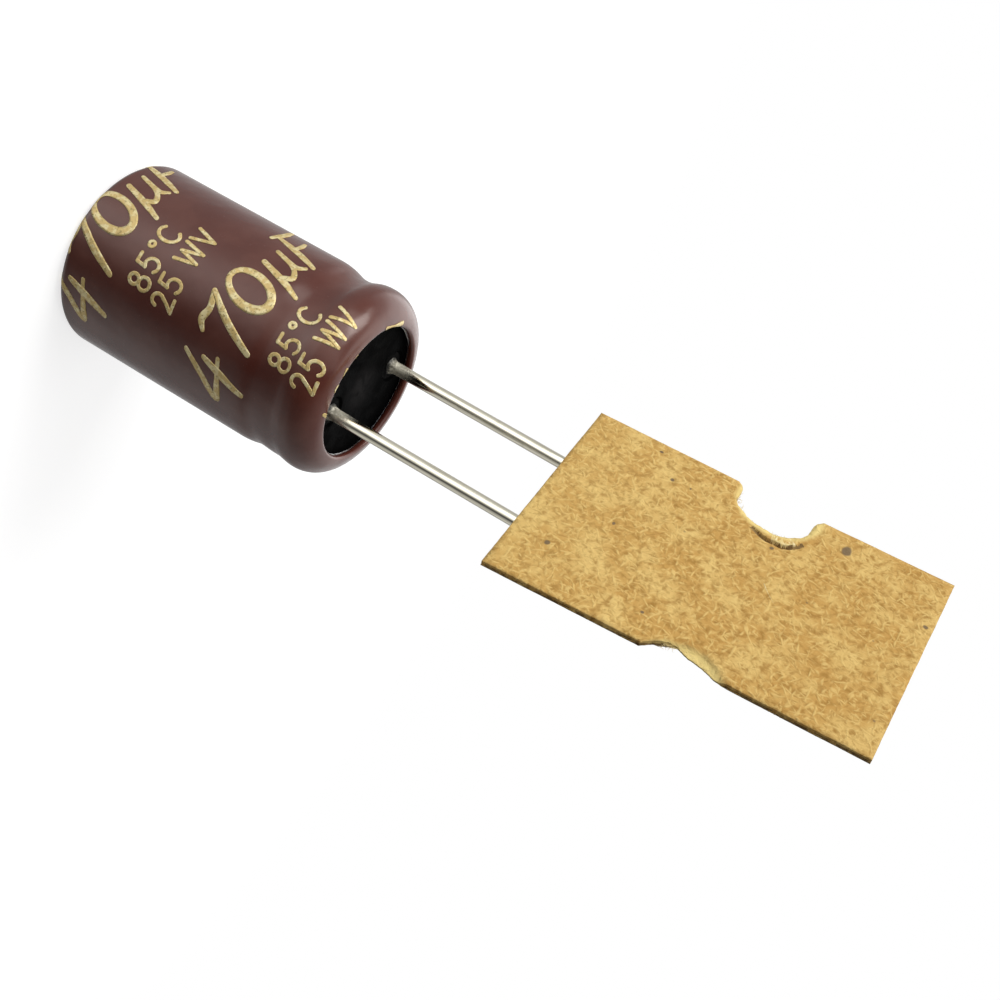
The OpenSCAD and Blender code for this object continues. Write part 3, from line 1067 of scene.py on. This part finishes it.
@dataclass
class CarrierStrip:
    """The cut card and the adhesive tape on its back, with torn feed holes.

    Points in the card's plane are x, across the strip's cut piece, and up, from the card's near edge.
    """

    back: float = -0.32
    thick: float = 0.32
    near: float = 25.7
    skew: float = 3.8
    near_left: Point = (-6.5, -0.11)
    near_right: Point = (6.25, 0.15)
    far_left: Point = (-6.65, 18.58)
    far_right: Point = (5.75, 18.34)
    hole: float = 2.0
    left_hub: Point = (-6.05, 9.85)
    right_hub: Point = (7.15, 9.85)
    feather: float = 0.21
    feather_reach: float = 0.38
    feather_from: Span = (8.6, 9.4)
    feather_rings: tuple[float, ...] = (0.16, 0.27, 0.40)
    cut_step: float = 0.09
    tear: float = 0.075
    edge_depth: float = 0.13
    ply_insets: Span = (0.022, -0.010)
    shallow_tear: tuple[Point, ...] = (
        (6.05, 7.82), (5.78, 8.1), (5.48, 8.45), (5.28, 8.82), (5.10, 9.28), (5.24, 9.62), (5.36, 9.9),
        (5.44, 10.4), (5.58, 10.86), (5.80, 11.28), (5.88, 11.62))
    deep_tear: tuple[Point, ...] = (
        (-6.50, 12.0), (-6.20, 11.72), (-5.8, 11.66), (-5.2, 11.64), (-4.82, 11.5), (-4.55, 11.22),
        (-4.30, 10.95), (-4.12, 10.6), (-4.05, 10.2), (-4.10, 9.6), (-4.22, 9.1), (-4.35, 8.72),
        (-4.62, 8.45), (-4.86, 8.1), (-5.15, 7.86), (-5.6, 7.88), (-6.05, 7.84), (-6.35, 7.70), (-6.48, 7.5))
    split: tuple[Point, ...] = (
        (-3.90, 9.10), (-3.70, 9.47), (-3.56, 9.75), (-3.47, 10.06), (-3.51, 10.40), (-3.49, 10.82),
        (-3.69, 11.16), (-4.06, 11.48), (-4.40, 11.72))
    split_sides: tuple[float, ...] = (-0.22, -0.13, -0.05, 0.0, 0.05, 0.13, 0.22)
    split_drop: float = 0.17
    split_lift: float = 0.09
    straw: tuple[Point, Point] = ((-0.71, 11.02), (0.16, 11.80))
    straw_radius: float = 0.035
    fibre_radius: float = 0.011
    fibre_length: Span = (0.06, 0.24)
    fibre_depth: Span = (0.10, 0.95)
    fibre_spread: float = 1.3
    fibre_curl: float = 2.6
    fibre_lift: float = 0.10
    deep_fibres: tuple[float, float, int] = (-82, 82, 110)
    shallow_fibres: tuple[float, float, int] = (142, 218, 70)
    hold_low: float = 4.4
    hold_high: float = 16.9
    hold_thick: float = 0.1
    hold_inset: float = 0.2
    hold_gaps: Span = (0.16, 0.03)
    hold_step: float = 0.12
    lead_x: float = 2.5
    lead_gap: float = 0.32
    tent_foot: float = 0.9

    def to_frame(self, x: float, up: float, y: float) -> Vector:
        """Place a point of the card's plane in the object's frame, at a height y."""
        turned = Matrix.Rotation(math.radians(-self.skew), 3, "Y") @ Vector((x, 0.0, up))
        return Vector((turned.x, y, turned.z + self.near))

    def hole_share(self, x: float, up: float) -> float:
        """How much a point of the outline belongs to a feed hole, from 0 to 1."""
        away = min(math.dist((x, up), hub) for hub in (self.left_hub, self.right_hub))
        return 1 - smooth_step(self.hole + 0.15, self.hole + 0.45, away)

    def outline(self) -> list[Point]:
        """Outline of the card, with the small wander of its cut and torn edges.

        Returns:
            The points of the closed outline in order.
        """
        points = walk([self.near_right, *self.shallow_tear, self.far_right, self.far_left, *self.deep_tear,
                       self.near_left], self.cut_step)
        moved = []
        for index, (x, up) in enumerate(points):
            before, after = points[index - 1], points[(index + 1) % len(points)]
            along = Vector((after[0] - before[0], after[1] - before[1])).normalized()
            cut = 0.012 * wobble(1.0, x * 0.7, up * 0.7) + 0.006 * wobble(3.0, x * 4, up * 4)
            torn = self.tear * (wobble(6.0, x * 1.4, up * 1.4) + 0.5 * wobble(9.0, x * 5, up * 5))
            in_hole = self.hole_share(x, up)
            shift = cut * (1 - in_hole) + torn * in_hole
            moved.append((x + along.y * shift, up - along.x * shift))
        return moved

    def plate(self, name: str, outline: list[Point], front: Height, back: Height, plies: int, seed: float,
              keep: float, extra: list[Point]) -> bpy.types.Object:
        """Make a thin board or sheet with layered edges.

        Args:
            name: Name of the piece.
            outline: Its outline in the card's plane.
            front: Gives the height of the front face at a point of the card's plane.
            back: The same for the back face.
            plies: Layers that show at the edge.
            seed: Shifts its noise.
            keep: Spacing of the points inside.
            extra: More points that the mesh has to keep.

        Returns:
            The piece.
        """
        count, clear, rounding = len(outline), 0.06, 0.02
        rim, inner = [Vector(p) for p in outline], [Vector(p) for p in extra]
        (left, right), (low, high) = ((min(side), max(side)) for side in zip(*outline))
        x = left + keep
        while x < right:
            up = low + keep
            while up < high:
                spot = Vector((x + 0.3 * keep * wobble(seed, x * 9, up * 9),
                               up + 0.3 * keep * wobble(seed + 3, x * 9, up * 9)))
                if all(abs(spot.x - p[0]) > clear or abs(spot.y - p[1]) > clear for p in extra):
                    inner.append(spot)
                up += keep
            x += keep
        edges = [(i, (i + 1) % count) for i in range(count)]
        flat, _, tris, _, _, _ = geometry.delaunay_2d_cdt(rim + inner, edges, [tuple(range(count))], 1, 1e-6)
        verts: list[Vector] = []
        faces: list[Face] = []
        for height, sign in ((front, -1.0), (back, 1.0)):
            base = len(verts)
            falls = [sign * rounding if index < count else 0.0 for index in range(len(flat))]
            verts.extend(self.to_frame(p.x, p.y, height(p.x, p.y) - fall) for p, fall in zip(flat, falls))
            faces.extend(tuple(base + i for i in tri) for tri in tris)
        layers = [range(count)]
        for ply in range(1, 2 * plies):
            share = 0.1 + 0.4 * ply / plies
            inset = self.ply_insets[ply % 2]
            layers.append(range(len(verts), len(verts) + count))
            for index, spot in enumerate(rim):
                along = (rim[(index + 1) % count] - rim[index - 1]).normalized()
                grain = 0.5 + wobble(seed + ply, spot.x * 3, spot.y * 3)
                moved = spot + Vector((along.y, -along.x)) * -inset * grain
                start, end = front(spot.x, spot.y), back(spot.x, spot.y)
                verts.append(self.to_frame(moved.x, moved.y, start + (end - start) * share))
        layers.append(range(len(flat), len(flat) + count))
        for near, far in zip(layers, layers[1:]):
            faces.extend(quads(near, far))
        return new_piece(name, verts, faces, smooth=False)

    def tear_place(self, x: float, up: float) -> tuple[float, float, bool]:
        """Where a point lies beside the split ply.

        Args:
            x: Across the card.
            up: From the card's near edge.

        Returns:
            The distance from the split, how far along it the point is from 0 to 1, and whether the point is
            on the feed hole's side.
        """
        here, best = Vector((x, up)), (9.0, 0.0, Vector((0.0, 0.0)))
        last = len(self.split) - 1
        for index in range(last):
            a, b = Vector(self.split[index]), Vector(self.split[index + 1])
            t = min(1.0, max(0.0, (here - a).dot(b - a) / (b - a).length_squared))
            foot = a + (b - a) * t
            if (here - foot).length < best[0]:
                best = ((here - foot).length, (index + t) / last, foot)
        hub = Vector(self.left_hub)
        return best[0], best[1], (here - hub).length < (best[2] - hub).length

    def front_face(self, x: float, up: float) -> float:
        """Height of the card's front face, with its split ply and the feathered edge of the shallow hole.

        Args:
            x: Across the card.
            up: From the card's near edge.

        Returns:
            The height along Y.
        """
        face = self.back - self.thick - 0.012 * min(0.0, wobble(8.0, x * 1.7, up * 1.7))
        reach = self.feather_reach * (1 + 0.35 * wobble(13.0, x * 2, up * 2))
        worn = 1 - smooth_step(0.0, reach, math.dist((x, up), self.right_hub) - self.hole)
        face += self.feather * worn * smooth_step(*self.feather_from, up)
        if math.dist((x, up), self.split[3]) > 2.2:
            return face
        away, share, hole_side = self.tear_place(x, up)
        swell = math.sin(math.pi * share) ** 0.7
        face += self.split_drop * swell * (1 - smooth_step(0.03, 0.14, away))
        if hole_side:
            lift = self.split_lift * swell * smooth_step(0.05, 0.16, away)
            face -= lift * (0.7 + 0.5 * wobble(3.0, x * 5, up * 5))
        return face

    def fine_points(self) -> list[Point]:
        """Points that give the split and the feathered edge their shape.

        Returns:
            Points of the card's plane close beside them.
        """
        points = []
        for a, b in zip(self.split, self.split[1:]):
            a, b = Vector(a), Vector(b)
            count = max(1, round((b - a).length / 0.07))
            across = Vector((-(b - a).y, (b - a).x)).normalized()
            for spot in (a + (b - a) * i / count for i in range(count)):
                points.extend(tuple(spot + across * side) for side in self.split_sides)
        points = [p for p in points if math.dist(p, self.left_hub) > self.hole + 0.12]
        for ring in self.feather_rings:
            points += arc(self.right_hub, self.hole + ring, 144, 188, 13)
        return points

    def build_card(self) -> None:
        """Make the card, with painted shade on the back part of its cut edges and in its split, and its torn
        edges paler.
        """
        piece = self.plate("kraft_card", self.outline(), self.front_face, lambda x, up: self.back,
                           plies=4, seed=2.0, keep=0.24, extra=self.fine_points())
        settle(piece, Finishes.CARD, "kraft_card", "carrier_card")
        piece.data.materials.append(Finishes.CUT_EDGE.material())
        piece.data.materials.append(Finishes.TORN.material())
        edge_shade, torn_edge = 1, 2
        front = self.back - self.thick
        unturn = Matrix.Rotation(math.radians(self.skew), 3, "Y")
        for face in piece.data.polygons:
            place = face.center / MM
            x, _, up = unturn @ Vector((place.x, 0.0, place.z - self.near))
            face.use_smooth = abs(face.normal.y) > 0.8
            # Painted shade: the back part of each cut edge, deeper than edge_depth, gets the dark edge
            # finish.
            if abs(face.normal.y) < 0.5 and place.y > front + self.edge_depth:
                frayed = x < 0.0 or up > 8.9 + 0.8 * wobble(6.0, x, up, place.y * 6)
                face.material_index = torn_edge if frayed and self.hole_share(x, up) > 0.5 else edge_shade
            if place.y < self.back - 0.5 * self.thick and math.dist((x, up), self.split[3]) < 2.0:
                away, share, hole_side = self.tear_place(x, up)
                # Painted shade: the split's groove gets the dark edge finish.
                if 0.02 < share < 0.98 and away < 0.10 + 0.04 * wobble(2.0, x * 4, up * 4):
                    face.material_index = edge_shade
                elif 0.45 < share < 0.86 and hole_side and away < 0.30 + 0.5 * wobble(5.0, x * 2, up * 2):
                    face.material_index = torn_edge

    def fibre(self, verts: list[Vector], faces: list[Face], root: Vector, aim: float, length: float,
              curl: float, depth: float, lift: float, radius: float) -> None:
        """Add one thin curled fibre to a mesh under way.

        Args:
            verts: The mesh's points.
            faces: The mesh's faces.
            root: Where it leaves the card, in the card's plane.
            aim: Its first direction, in radians.
            length: Its length.
            curl: How far it turns, in radians.
            depth: Its place along Y.
            lift: How far it rises along Y.
            radius: Its radius at the root.
        """
        sides, rings = 5, 6
        spot, base = root.copy(), len(verts)
        for i in range(rings):
            t = i / (rings - 1)
            heading = aim + curl * t
            if i:
                spot = spot + Vector((math.cos(heading), math.sin(heading))) * length / (rings - 1)
            thin = radius * (1 - 0.6 * t)
            for a in (FULL_TURN * k / sides for k in range(sides)):
                across = Vector((-math.sin(heading), math.cos(heading))) * math.cos(a) * thin
                verts.append(self.to_frame(spot.x + across.x, spot.y + across.y,
                                           depth + lift * t * t + math.sin(a) * thin))
        faces.extend(ring_faces(rings, sides, False, base))
        faces.append(tuple(range(base, base + sides)))
        faces.append(tuple(range(len(verts) - sides, len(verts))))

    def build_fibres(self) -> None:
        """Make the loose fibres that stand out of the torn feed holes, and the straw in the card's face."""
        rng = random.Random(11)
        verts: list[Vector] = []
        faces: list[Face] = []
        reach = self.hole * 1.01
        for hub, (start, end, count) in ((self.left_hub, self.deep_fibres),
                                         (self.right_hub, self.shallow_fibres)):
            for _ in range(count):
                a = math.radians(rng.uniform(start, end))
                root = Vector((hub[0] + reach * math.cos(a), hub[1] + reach * math.sin(a)))
                aim = a + math.pi + rng.uniform(-self.fibre_spread, self.fibre_spread)
                length, curl = rng.uniform(*self.fibre_length), rng.uniform(-self.fibre_curl, self.fibre_curl)
                depth = self.back - self.thick * rng.uniform(*self.fibre_depth)
                depth = max(depth, self.front_face(*root) + 0.012)
                lift = rng.uniform(-self.fibre_lift, self.fibre_lift)
                self.fibre(verts, faces, root, aim, length, curl, depth, lift, self.fibre_radius)
        foot, tip = (Vector(p) for p in self.straw)
        aim = math.atan2(tip.y - foot.y, tip.x - foot.x) - 0.12
        self.fibre(verts, faces, foot, aim, (tip - foot).length, 0.24, self.back - self.thick + 0.01, 0.0,
                   self.straw_radius)
        settle(new_piece("torn_fibres", verts, faces), Finishes.TORN, "kraft_card")

    def tent(self, x: float, rise: float) -> float:
        """Height of the adhesive tape where it lies on the card and bridges over a lead.

        Args:
            x: Place across the leads in the object's frame.
            rise: Height above the tape's lower face.

        Returns:
            The place along Y.
        """
        base, r = self.back + rise, self.lead_gap + rise
        away = min(abs(x - self.lead_x), abs(x + self.lead_x))
        top = math.atan2(base, self.tent_foot) + math.acos(r / math.hypot(self.tent_foot, base))
        touch = r * math.cos(top)
        if away <= touch:
            return math.sqrt(r * r - away * away)
        if away < self.tent_foot:
            return r * math.sin(top) + (base - r * math.sin(top)) * (away - touch) / (self.tent_foot - touch)
        return base

    def tape_under(self, x: float, up: float) -> float:
        """Height of the tape's lower face at a point of the card's plane."""
        return self.tent(self.to_frame(x, up, 0.0).x, 0.0)

    def tape_over(self, x: float, up: float) -> float:
        """Height of the tape's upper face, with its creases.

        Args:
            x: Across the card.
            up: From the card's near edge.

        Returns:
            The place along Y.
        """
        across = self.to_frame(x, up, 0.0).x
        away = min(abs(across - self.lead_x), abs(across + self.lead_x))
        near = math.exp(-((away - 0.6) / 0.35) ** 2)
        crease = 0.016 * wobble(5.0, across * 3.2, up * 0.9)
        crease += 0.022 * near * wobble(9.0, across * 2.0, up * 2.2)
        return self.tent(across, self.hold_thick) + crease

    def hold_outline(self) -> list[Point]:
        """Outline of the tape, which keeps clear of both feed holes.

        Returns:
            The points of the closed outline in order.
        """
        right = self.near_right[0] - self.hold_inset
        far_right = self.far_right[0] + 0.04 - self.hold_inset
        left = self.near_left[0] - 0.02 + self.hold_inset
        widest = self.shallow_tear[-1][0] - self.hold_inset
        bite = [p for p in arc(self.right_hub, self.hole + self.hold_gaps[0], 218, 142, 24) if p[0] < widest]
        deep = arc(self.left_hub, self.hole + self.hold_gaps[1], 92, -92, 48)
        rough = [(right, self.hold_low), *bite, (far_right, self.hold_high), (left - 0.06, self.hold_high),
                 (left - 0.04, deep[0][1]), *deep, (left, deep[-1][1]), (left, self.hold_low)]
        return [(x + 0.008 * wobble(4.0, x * 2, up * 2), up + 0.012 * wobble(7.0, x * 2, up * 2))
                for x, up in walk(rough, self.hold_step)]

    def build_hold_down(self) -> None:
        """Make the adhesive tape on the card's back, drawn tight over the leads and a little crinkled."""
        slope = math.tan(math.radians(self.skew))
        side_step, up_step, notch_side = 0.11, 0.3, -3.9
        fine = [(self.lead_x + up * slope + side * side_step, up)
                for up in (self.hold_low + up_step * i for i in range(1, 41)) for side in range(-9, 10)]
        fine += [(x - 2 * self.lead_x, up) for x, up in fine]
        fine = [p for p in fine if p[0] > notch_side]
        piece = self.plate("hold_down_tape_sheet", self.hold_outline(), self.tape_under, self.tape_over,
                           plies=1, seed=5.0, keep=0.3, extra=fine)
        for face in piece.data.polygons:
            face.use_smooth = abs(face.normal.z) < 0.5 and abs(face.normal.y) > 0.3
        settle(piece, Finishes.TAPE, "kraft_tape", "hold_down_tape")

    def build(self) -> None:
        """Make the card, its loose fibres and the tape."""
        self.build_card()
        self.build_fibres()
        self.build_hold_down()


@dataclass(frozen=True)
class KeptSolids:
    """The CAD solids that show as they are: can, seal, terminals and winding."""

    finishes: tuple[tuple[str, Finishes], ...] = (
        ("can", Finishes.CAN), ("rubber_bung", Finishes.RUBBER), ("anode_terminal", Finishes.STUD),
        ("cathode_terminal", Finishes.STUD), ("anode_foil", Finishes.FOIL), ("cathode_foil", Finishes.FOIL),
        ("inner_separator", Finishes.PAPER), ("outer_separator", Finishes.PAPER),
        ("element_tape", Finishes.PAPER))

    def dress(self) -> None:
        """Give each solid its finish."""
        for node, finish in self.finishes:
            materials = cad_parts[node].data.materials
            for index in range(len(materials)):
                materials[index] = finish.material()
            LOG.info("%s: %s", node, finish.value.name)


@dataclass(frozen=True)
class Lamp:
    """A soft rectangular lamp that points at the object, with its distance and size in metres."""

    name: str
    azimuth: float
    elevation: float
    distance: float
    width: float
    height: float
    power: float
    mirrored: bool = True

    def build(self, target: Vector) -> None:
        """Make the lamp.

        Args:
            target: The point that it faces, in metres.
        """
        a, e = math.radians(self.azimuth), math.radians(self.elevation)
        away = polar(math.cos(e), a, math.sin(e))
        light = bpy.data.lights.new(self.name, "AREA")
        light.shape = "RECTANGLE"
        light.size, light.size_y, light.energy = self.width, self.height, self.power
        lamp = bpy.data.objects.new(self.name, light)
        lamp.location = target + away * self.distance
        lamp.rotation_mode = "QUATERNION"
        lamp.rotation_quaternion = (-away).to_track_quat("-Z", "Y")
        lamp.visible_glossy = self.mirrored
        bpy.context.scene.collection.objects.link(lamp)


@dataclass
class Studio:
    """Camera, lamps, pale floor and white background, in metres.

    The surround is what film and metal mirror: brightness by azimuth in degrees, level with the object and
    above it. It turns from the first to the second between two heights of the mirrored direction.
    """

    focal: float = 51.05
    sensor: float = 36.0
    clip: Span = (0.001, 10.0)
    camera_at: Colour = (0.04627, -0.04423, 0.04320)
    azimuth: float = 45.14
    elevation: float = 16.58
    roll: float = 120.38
    floor_radius: float = 0.095
    floor_rings: int = 24
    floor_around: int = 96
    floor_colour: Colour = (0.45, 0.45, 0.45)
    floor_glow: float = 0.72
    floor_fade: Span = (0.35, 0.95)
    world_level: float = 0.40
    level: tuple[Point, ...] = (
        (-180.0, 0.64), (-165.0, 0.56), (-150.0, 0.56), (-135.0, 0.64), (-119.0, 0.76), (-100.0, 1.1),
        (-84.0, 1.9), (-71.0, 2.4), (-55.0, 1.8), (-42.0, 1.1), (-30.0, 0.45), (-14.0, 0.10), (0.0, 0.09),
        (14.0, 0.32), (30.0, 0.54), (50.0, 0.72), (66.0, 0.66), (84.0, 0.40), (105.0, 0.36), (135.0, 0.55),
        (180.0, 0.64))
    above: tuple[Point, ...] = (
        (-180.0, 2.4), (-165.0, 1.7), (-150.0, 0.9), (-135.0, 0.60), (-119.0, 0.50), (-100.0, 0.65),
        (-84.0, 1.2), (-71.0, 1.7), (-55.0, 1.2), (-42.0, 0.5), (-30.0, 0.12), (-14.0, 0.03), (0.0, 0.04),
        (14.0, 0.14), (30.0, 0.34), (50.0, 0.50), (66.0, 0.52), (84.0, 0.52), (105.0, 0.6), (135.0, 1.3),
        (160.0, 2.2), (180.0, 2.4))
    turn_over: Span = (-0.27, -0.06)
    lamp_target: Colour = (0.0, 0.0, 0.02)
    lamps: tuple[Lamp, ...] = (
        Lamp("key_light", -118.0, 38.0, 0.26, 0.14, 0.14, 0.38),
        Lamp("strip_light", -99.0, 18.0, 0.24, 0.11, 0.30, 0.24),
        Lamp("back_fill", 100.0, 34.0, 0.26, 0.16, 0.16, 0.15, mirrored=False))

    def build_camera(self) -> None:
        """Make the camera at the photograph's viewing angle."""
        a, e, roll = (math.radians(v) for v in (self.azimuth, self.elevation, self.roll))
        back = Vector((math.sin(a) * math.cos(e), -math.cos(a) * math.cos(e), math.sin(e)))
        level_right = Vector((math.cos(a), math.sin(a), 0.0))
        right = level_right * math.cos(roll) + back.cross(level_right) * math.sin(roll)
        data = bpy.data.cameras.new("camera")
        data.lens, data.sensor_width = self.focal, self.sensor
        data.clip_start, data.clip_end = self.clip
        camera = bpy.data.objects.new("camera", data)
        camera.matrix_world = Matrix((right, back.cross(right), back)).transposed().to_4x4()
        camera.location = Vector(self.camera_at)
        bpy.context.scene.collection.objects.link(camera)
        bpy.context.scene.camera = camera

    def build_floor(self) -> None:
        """Make the round floor that fades into the background at its edge."""
        verts = [Vector((0.0, 0.0, 0.0))]
        for i in range(1, self.floor_rings + 1):
            r = self.floor_radius / MM * (i / self.floor_rings) ** 2
            verts.extend(polar(r, FULL_TURN * k / self.floor_around, 0.0) for k in range(self.floor_around))
        faces = [(0, 1 + k, 1 + (k + 1) % self.floor_around) for k in range(self.floor_around)]
        faces += ring_faces(self.floor_rings, self.floor_around, False, 1)
        floor = new_piece("studio_floor", verts, faces)
        for face in floor.data.polygons:
            if face.normal.z < 0:
                face.flip()
        floor.data.materials.append(self.floor_material())

    def floor_material(self) -> bpy.types.Material:
        """Make a floor that shows white to the camera, keeps the shadow and is open to mirrored rays.

        Returns:
            The material.
        """
        material = bpy.data.materials.new("pale_floor")
        net = NodeNet(material)
        seen = net.add("LightPath").outputs
        glow = net.add("Emission", {"Strength": net.times(seen["Is Camera Ray"], self.floor_glow)})
        matt = net.add("BsdfDiffuse", {"Color": self.floor_colour})
        total = net.add("AddShader", {0: matt.outputs[0], 1: glow.outputs[0]})
        near, far = self.floor_fade
        away = net.length(net.add("TexCoord").outputs["Object"])
        fade = net.ramp(away, (self.floor_radius * near, self.floor_radius * far))
        open_share = net.math("MAXIMUM", fade, seen["Is Glossy Ray"])
        clear = net.add("BsdfTransparent")
        mixed = net.add("MixShader", {"Fac": open_share, 1: total.outputs[0], 2: clear.outputs[0]})
        net.add("OutputMaterial", {"Surface": mixed.outputs[0]})
        return material

    def ring(self, net: NodeNet, around: Socket, levels: tuple[Point, ...]) -> Socket:
        """Brightness by azimuth.

        Args:
            net: The world's nodes.
            around: The azimuth, from 0 to 1 for a full turn.
            levels: Azimuths in degrees and their brightness.

        Returns:
            The brightness.
        """
        node = net.add("ValToRGB", {"Fac": around})
        stops = node.color_ramp.elements
        while len(stops) < len(levels):
            stops.new(0.5)
        for stop, (azimuth, level) in zip(stops, levels):
            stop.position = azimuth / 360 + 0.5
            stop.color = (level, level, level, 1.0)
        return node.outputs["Color"]

    def build_world(self) -> None:
        """Make the white background, and the softer light and the surround that it casts."""
        world = bpy.data.worlds.new("studio")
        net = NodeNet(world)
        toward = net.add("SeparateXYZ", {0: net.add("TexCoord").outputs["Generated"]}).outputs
        around = net.math("MULTIPLY_ADD", net.math("ARCTAN2", toward["Y"], toward["X"]), 1 / FULL_TURN, 0.5)
        surround = net.ramp(toward["Z"], self.turn_over,
                            (self.ring(net, around, self.level), self.ring(net, around, self.above)))
        seen = net.add("LightPath").outputs
        direct = net.math("MAXIMUM", seen["Is Glossy Ray"], seen["Is Transmission Ray"])
        lit = net.times(surround, net.ramp(direct, (0.0, 1.0), (self.world_level, 1.0)))
        strength = net.math("MAXIMUM", lit, seen["Is Camera Ray"])
        ground = net.add("Background", {"Color": (1.0, 1.0, 1.0), "Strength": strength})
        net.add("OutputWorld", {"Surface": ground.outputs[0]})
        bpy.context.scene.world = world

    def build(self) -> None:
        """Make the whole studio."""
        bpy.context.scene.view_settings.view_transform = "Standard"
        self.build_camera()
        self.build_floor()
        self.build_world()
        for lamp in self.lamps:
            lamp.build(Vector(self.lamp_target))


def main() -> None:
    """Build the part's looks in order."""
    logging.basicConfig(level=logging.INFO, format="%(name)s %(message)s")
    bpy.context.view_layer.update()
    Studio().build()
    KeptSolids().dress()
    skin = BodySkin()
    skin.build()
    SleevePrint(skin).build()
    LeadWires().build()
    CarrierStrip().build()
    bpy.context.view_layer.update()


if __name__ == "__main__":
    main()
